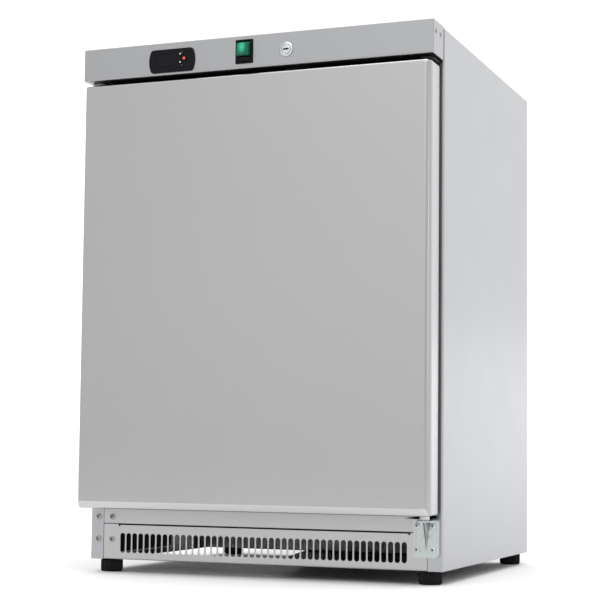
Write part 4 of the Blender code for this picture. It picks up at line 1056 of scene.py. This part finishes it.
def machine():
    cx, cy, top = COMPRESSOR

    def oval(a, b, height):
        """Squarish oval round the compressor's middle."""
        return [(cx + a * math.copysign(abs(math.cos(t)) ** 0.8, math.cos(t)),
                 cy + b * math.copysign(abs(math.sin(t)) ** 0.8, math.sin(t)), top + height)
                for t in (2 * math.pi * (k + 0.5) / 64 for k in range(64))]

    rows = curve_path([(52, 30, 10), (78, 56, 14), (92, 66, 30), (95, 69, 60), (95, 69, 78),
                       (93, 67, 96), (86, 60, 118), (70, 46, 136), (44, 28, 147), (14, 9, 151)],
                      4)
    seam = ((-1, 76), (1.6, 76.6), (2.0, 79), (1.6, 81.4), (-1, 82))
    parts = [loft("pot", [oval(*row) for row in rows]),
             loft("seam", [oval(95 + grow, 69 + grow, h) for grow, h in seam], closed=True)]
    parts.append(prism("plate", rounded(cx - 100, cx + 100, cy - 60, cy + 60, 12, 6), "Z",
                       top + 11, top + 14))
    for stub, radius in ((((-88, 8, 70), (-97, 8, 71), (-104, 9, 74)), 3.4),
                         (((-70, -30, 100), (-88, -38, 106), (-100, -42, 116)), 4.2)):
        parts.append(tube("stub", curve_path([Vector(COMPRESSOR) + Vector(p) for p in stub]),
                          radius, 12))
    piece(join("compressor_shell", parts), SHELL, "compressor", smooth=45)
    feet_at = [(cx + sx * 86, cy + sy * 48) for sx in (-1, 1) for sy in (-1, 1)]
    grommet = [(7, top), (9, top + 0.6), (9, top + 10), (7.6, top + 10.9), (7.6, top + 14.2),
               (8.6, top + 15), (8.6, top + 17.5), (4, top + 18)]
    piece(join("compressor_grommets", [lathe("grommet", grommet, "Z", at, 32)
                                       for at in feet_at]), RUBBER)
    bolt = [(3, top + 17), (5.4, top + 18.1), (5.4, top + 21.4), (4.6, top + 22)]
    piece(join("compressor_bolts", [lathe("bolt", bolt, "Z", at, 6) for at in feet_at]), ZINC,
          smooth=20)

    relay = loft("relay_cover", rect_rings(
        [(29.6, 26.6, cx + 96.9, 3), (31.2, 28.2, cx + 98, 4), (32, 29, cx + 100, 4),
         (32, 29, cx + 136, 4), (31, 28, cx + 139.2, 4), (28, 25, cx + 140, 3)], "X",
        (cy, top + 63), 5))
    piece(relay, BLACK, "relay_box")

    tray_z = top + 160
    rows = [(94, 54, tray_z + 3, 6), (97.6, 57.6, tray_z + 5, 8), (100, 60, tray_z + 28, 9),
            (102, 62, tray_z + 28, 10), (102, 62, tray_z + 26.6, 10),
            (100.9, 60.9, tray_z + 26.4, 9.5), (99.6, 59.6, tray_z + 4, 9), (96, 56, tray_z, 7)]
    piece(loft("drip_tray_moulding", rect_rings(rows, "Z", (cx, cy), 6)), WHITE, "drip_tray",
          smooth=35)

    drier = [(2.4, -245), (3, -243), (3, -238.6), (4.6, -236), (7.6, -231.6), (8.8, -229),
             (9, -227), (9, -151), (8.8, -149), (7.4, -146.6), (4.6, -142.2), (3, -139.6),
             (3, -134), (2.4, -133)]
    piece(lathe("drier_cartridge", drier, "X", (250, 120), 40), COPPER, "filter_drier", smooth=50)

    gland = [(4.2, 290), (5.8, 290), (6, 290.3), (6, 296.3), (9, 296.3), (9, 299.6), (8.2, 300.2),
             (7.4, 300.4), (6.6, 303.2), (6, 304), (4.2, 304), (3.6, 303.4), (3.6, 290.6)]
    piece(lathe("gland_moulding", gland, "Y", (-190, 48.4), 36, closed=True), BLACK, "cable_gland",
          smooth=50)


def condenser():
    cx, cy, top = COMPRESSOR
    passes, pitch, half, y, low, drier_z = 10, 46.0, 210.0, 291.0, 366.0, 120.0
    lead = curve_path([(-134, 250, drier_z), (-125, 250, drier_z), (-116, 258, drier_z + 1),
                       (-111, 280, drier_z + 7), (-110, y, drier_z + 22), (-110, y, low - 60),
                       (-110, y, low - 22), (-106, y, low - 6), (-95, y, low)], 4)
    path = [tuple(p) for p in lead]
    for i in range(passes):
        side = 1 if i % 2 == 0 else -1
        zc = low + pitch * (i + 0.5)
        if i == passes - 1:
            path.append((side * (half - 2), y, zc - pitch / 2))
            continue
        path += [(side * (half + pitch / 2 * math.sin(t)), y, zc - pitch / 2 * math.cos(t))
                 for t in (math.pi * k / 14 for k in range(15))]
    last = low + pitch * (passes - 1)
    path += [tuple(p) for p in curve_path(
        [(-half - 30, y, last), (-half - 38, y, last - 4), (-half - 40, y, last - 14),
         (-half - 40, y, 420), (-half - 40, y, 200), (-half - 36, y - 8, 174),
         (-half - 20, 240, 158), (-150, 215, 108), (-100, cy + 10, top + 74),
         (cx - 103, cy + 9, top + 74)], 5)]
    piece(tube("condenser_tube", path, 2.4, 12), COIL, "condenser_coil", smooth=60)
    rods = []
    for i in range(36):
        x = -205 + 410 * i / 35
        for s in (-1, 1):
            rods.append(tube("rod", [(x, y + s * 3.0, 352), (x, y + s * 3.0, 794)], 0.75, 6))
    piece(join("condenser_rods", rods), COIL, smooth=70)
    straps = []
    for sx in (-1, 1):
        x = sx * 178
        straps.append(box("strap", x - 9, x + 9, y - 5.2, y - 4.0, 356, 790))
        for z in (372, 572, 772):
            straps.append(lathe("standoff", [(6, 280.2), (6, y - 5), (3.5, y - 4.6)], "Y",
                                (x, z), 20))
    piece(join("condenser_straps", straps), COIL, bevel=0.2)

    suction = curve_path([(cx - 100, cy - 42, top + 116), (cx - 112, cy - 44, top + 128),
                          (cx - 122, cy - 40, top + 160), (-90, 175, 240), (-92, 210, 300),
                          (-92, 215, 318)], 6)
    piece(tube("suction_line", suction, 3.6, 12), COPPER, smooth=60)
    coil = []
    for k in range(73):
        t = 2 * math.pi * k / 18
        coil.append((-190 + 24 * math.cos(t), 232 + 0.5 * k / 18 * 3.4, 210 + 24 * math.sin(t)))
    lead_in = curve_path([(-247, 250, 120), (-256, 250, 124), (-262, 244, 150),
                          (-230, 234, 196), coil[0]], 6)[:-1]
    capillary = [tuple(p) for p in lead_in] + coil + [
        tuple(p) for p in curve_path([coil[-1], (-160, 238, 250), (-110, 226, 290),
                                      (-96, 220, 320)], 6)[1:]]
    piece(tube("capillary_line", capillary, 1.1, 8), COPPER, smooth=60)
    loom = curve_path([(cx + 118, cy + 31, top + 50), (cx + 116, cy + 48, top + 40),
                       (cx + 60, cy + 88, top + 26), (-60, 278, top + 20), (-150, 284, top + 18),
                       (-186, 286, 48), (-190, 292, 48.4)], 6)
    piece(tube("wiring_loom", loom, 3.4, 12), BLACK, smooth=60)


cabinet()
liner()
plinth()
screws()
feet()
door()
hinges()
fascia()
controller()
power_switch()
lock()
shelves()
cold_unit()
machine()
condenser()
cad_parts["foam_insulation"].data.materials[0] = FOAM


# ------------------------------------------------------------------ studio
def studio():
    floor = make("studio_floor", [(-30000, -30000, 0), (30000, -30000, 0), (30000, 30000, 0),
                                  (-30000, 30000, 0)], [(0, 1, 2, 3)])
    pale = surface("pale_floor", "", (0.88, 0.88, 0.885), 0.7, 0.0, 0.004, 0.7, 0.03, 300, 0.02)
    floor.data.materials.append(pale)
    g = Graph(pale.node_tree)
    place = g.node("ShaderNodeTexCoord").outputs["Object"]
    along = g.node("ShaderNodeSeparateXYZ", ((0, place),)).outputs["Y"]
    # painted shade: the floor darkens towards the front, out of the camera's view, which dims the
    # floor that the door reflects
    fade = g.map_range(along, -2.9, -0.5, 0.72, 1.0, interpolation_type="SMOOTHSTEP")
    base = pale.node_tree.nodes["Principled BSDF"].inputs["Base Color"]
    g.link(g.tint(base.links[0].from_socket, fade), base)

    world = bpy.data.worlds.new("studio")
    bpy.context.scene.world = world
    world.use_nodes = True
    g = Graph(world.node_tree)
    back = world.node_tree.nodes["Background"]
    heading = g.node("ShaderNodeTexCoord").outputs["Generated"]

    def glow(direction, start, end, low, high):
        """Brightness that rises smoothly towards a direction."""
        aim = g.node("ShaderNodeVectorMath", ((0, heading), (1, Vector(direction).normalized())),
                     operation="DOT_PRODUCT")
        return g.map_range(aim.outputs["Value"], start, end, low, high,
                           interpolation_type="SMOOTHSTEP")

    backdrop = glow((0.1, 1, 0), -0.3, 0.8, 0.84, 1.33)
    key = glow((-0.20, -0.98, 0.09), 0.87, 1.0, 0.0, 0.28)
    canopy = glow((0.1, -0.66, 0.75), 0.70, 1.0, 0.0, 0.9)
    g.link(g.math("ADD", g.math("ADD", backdrop, key), canopy), back.inputs["Strength"])
    back.inputs["Color"].default_value = (1, 1, 1, 1)

    def soft_box(name, place, target, size, power):
        data = bpy.data.lights.new(name, "AREA")
        data.shape, data.size, data.energy = "DISK", size, power
        lamp = bpy.data.objects.new(name, data)
        bpy.context.scene.collection.objects.link(lamp)
        lamp.location = place
        lamp.rotation_euler = (Vector(target) - Vector(place)).to_track_quat("-Z", "Y").to_euler()

    soft_box("overhead_box", (0.3, -0.6, 3.4), (0, -0.2, 0), 3.2, 50)
    soft_box("front_box", (4.2, -2.2, 1.0), (0, -0.24, 0), 1.6, 5)
    soft_box("right_box", (1.05, 3.0, 0.15), (0.3, 0, 0.1), 1.0, 1.1)

    data = bpy.data.cameras.new("camera")
    data.lens, data.sensor_width = 95.006, 36.0
    data.shift_x, data.shift_y = 0.0015, 0.0549
    data.clip_end = 200
    camera = bpy.data.objects.new("camera", data)
    bpy.context.scene.collection.objects.link(camera)
    yaw, pitch, roll = math.radians(21.6245), math.radians(4.2145), math.radians(0.6048)
    ahead = Vector((-math.sin(yaw) * math.cos(pitch), math.cos(yaw) * math.cos(pitch),
                    math.sin(pitch)))
    right = Vector((math.cos(yaw), math.sin(yaw), 0))
    up = right.cross(ahead)
    right, up = (right * math.cos(roll) + up * math.sin(roll),
                 up * math.cos(roll) - right * math.sin(roll))
    turn = Matrix((right, up, -ahead)).transposed().to_4x4()
    camera.matrix_world = Matrix.Translation((0.9801, -2.5505, 0.2025)) @ turn
    bpy.context.scene.camera = camera
    bpy.context.scene.view_settings.view_transform = "Standard"


studio()
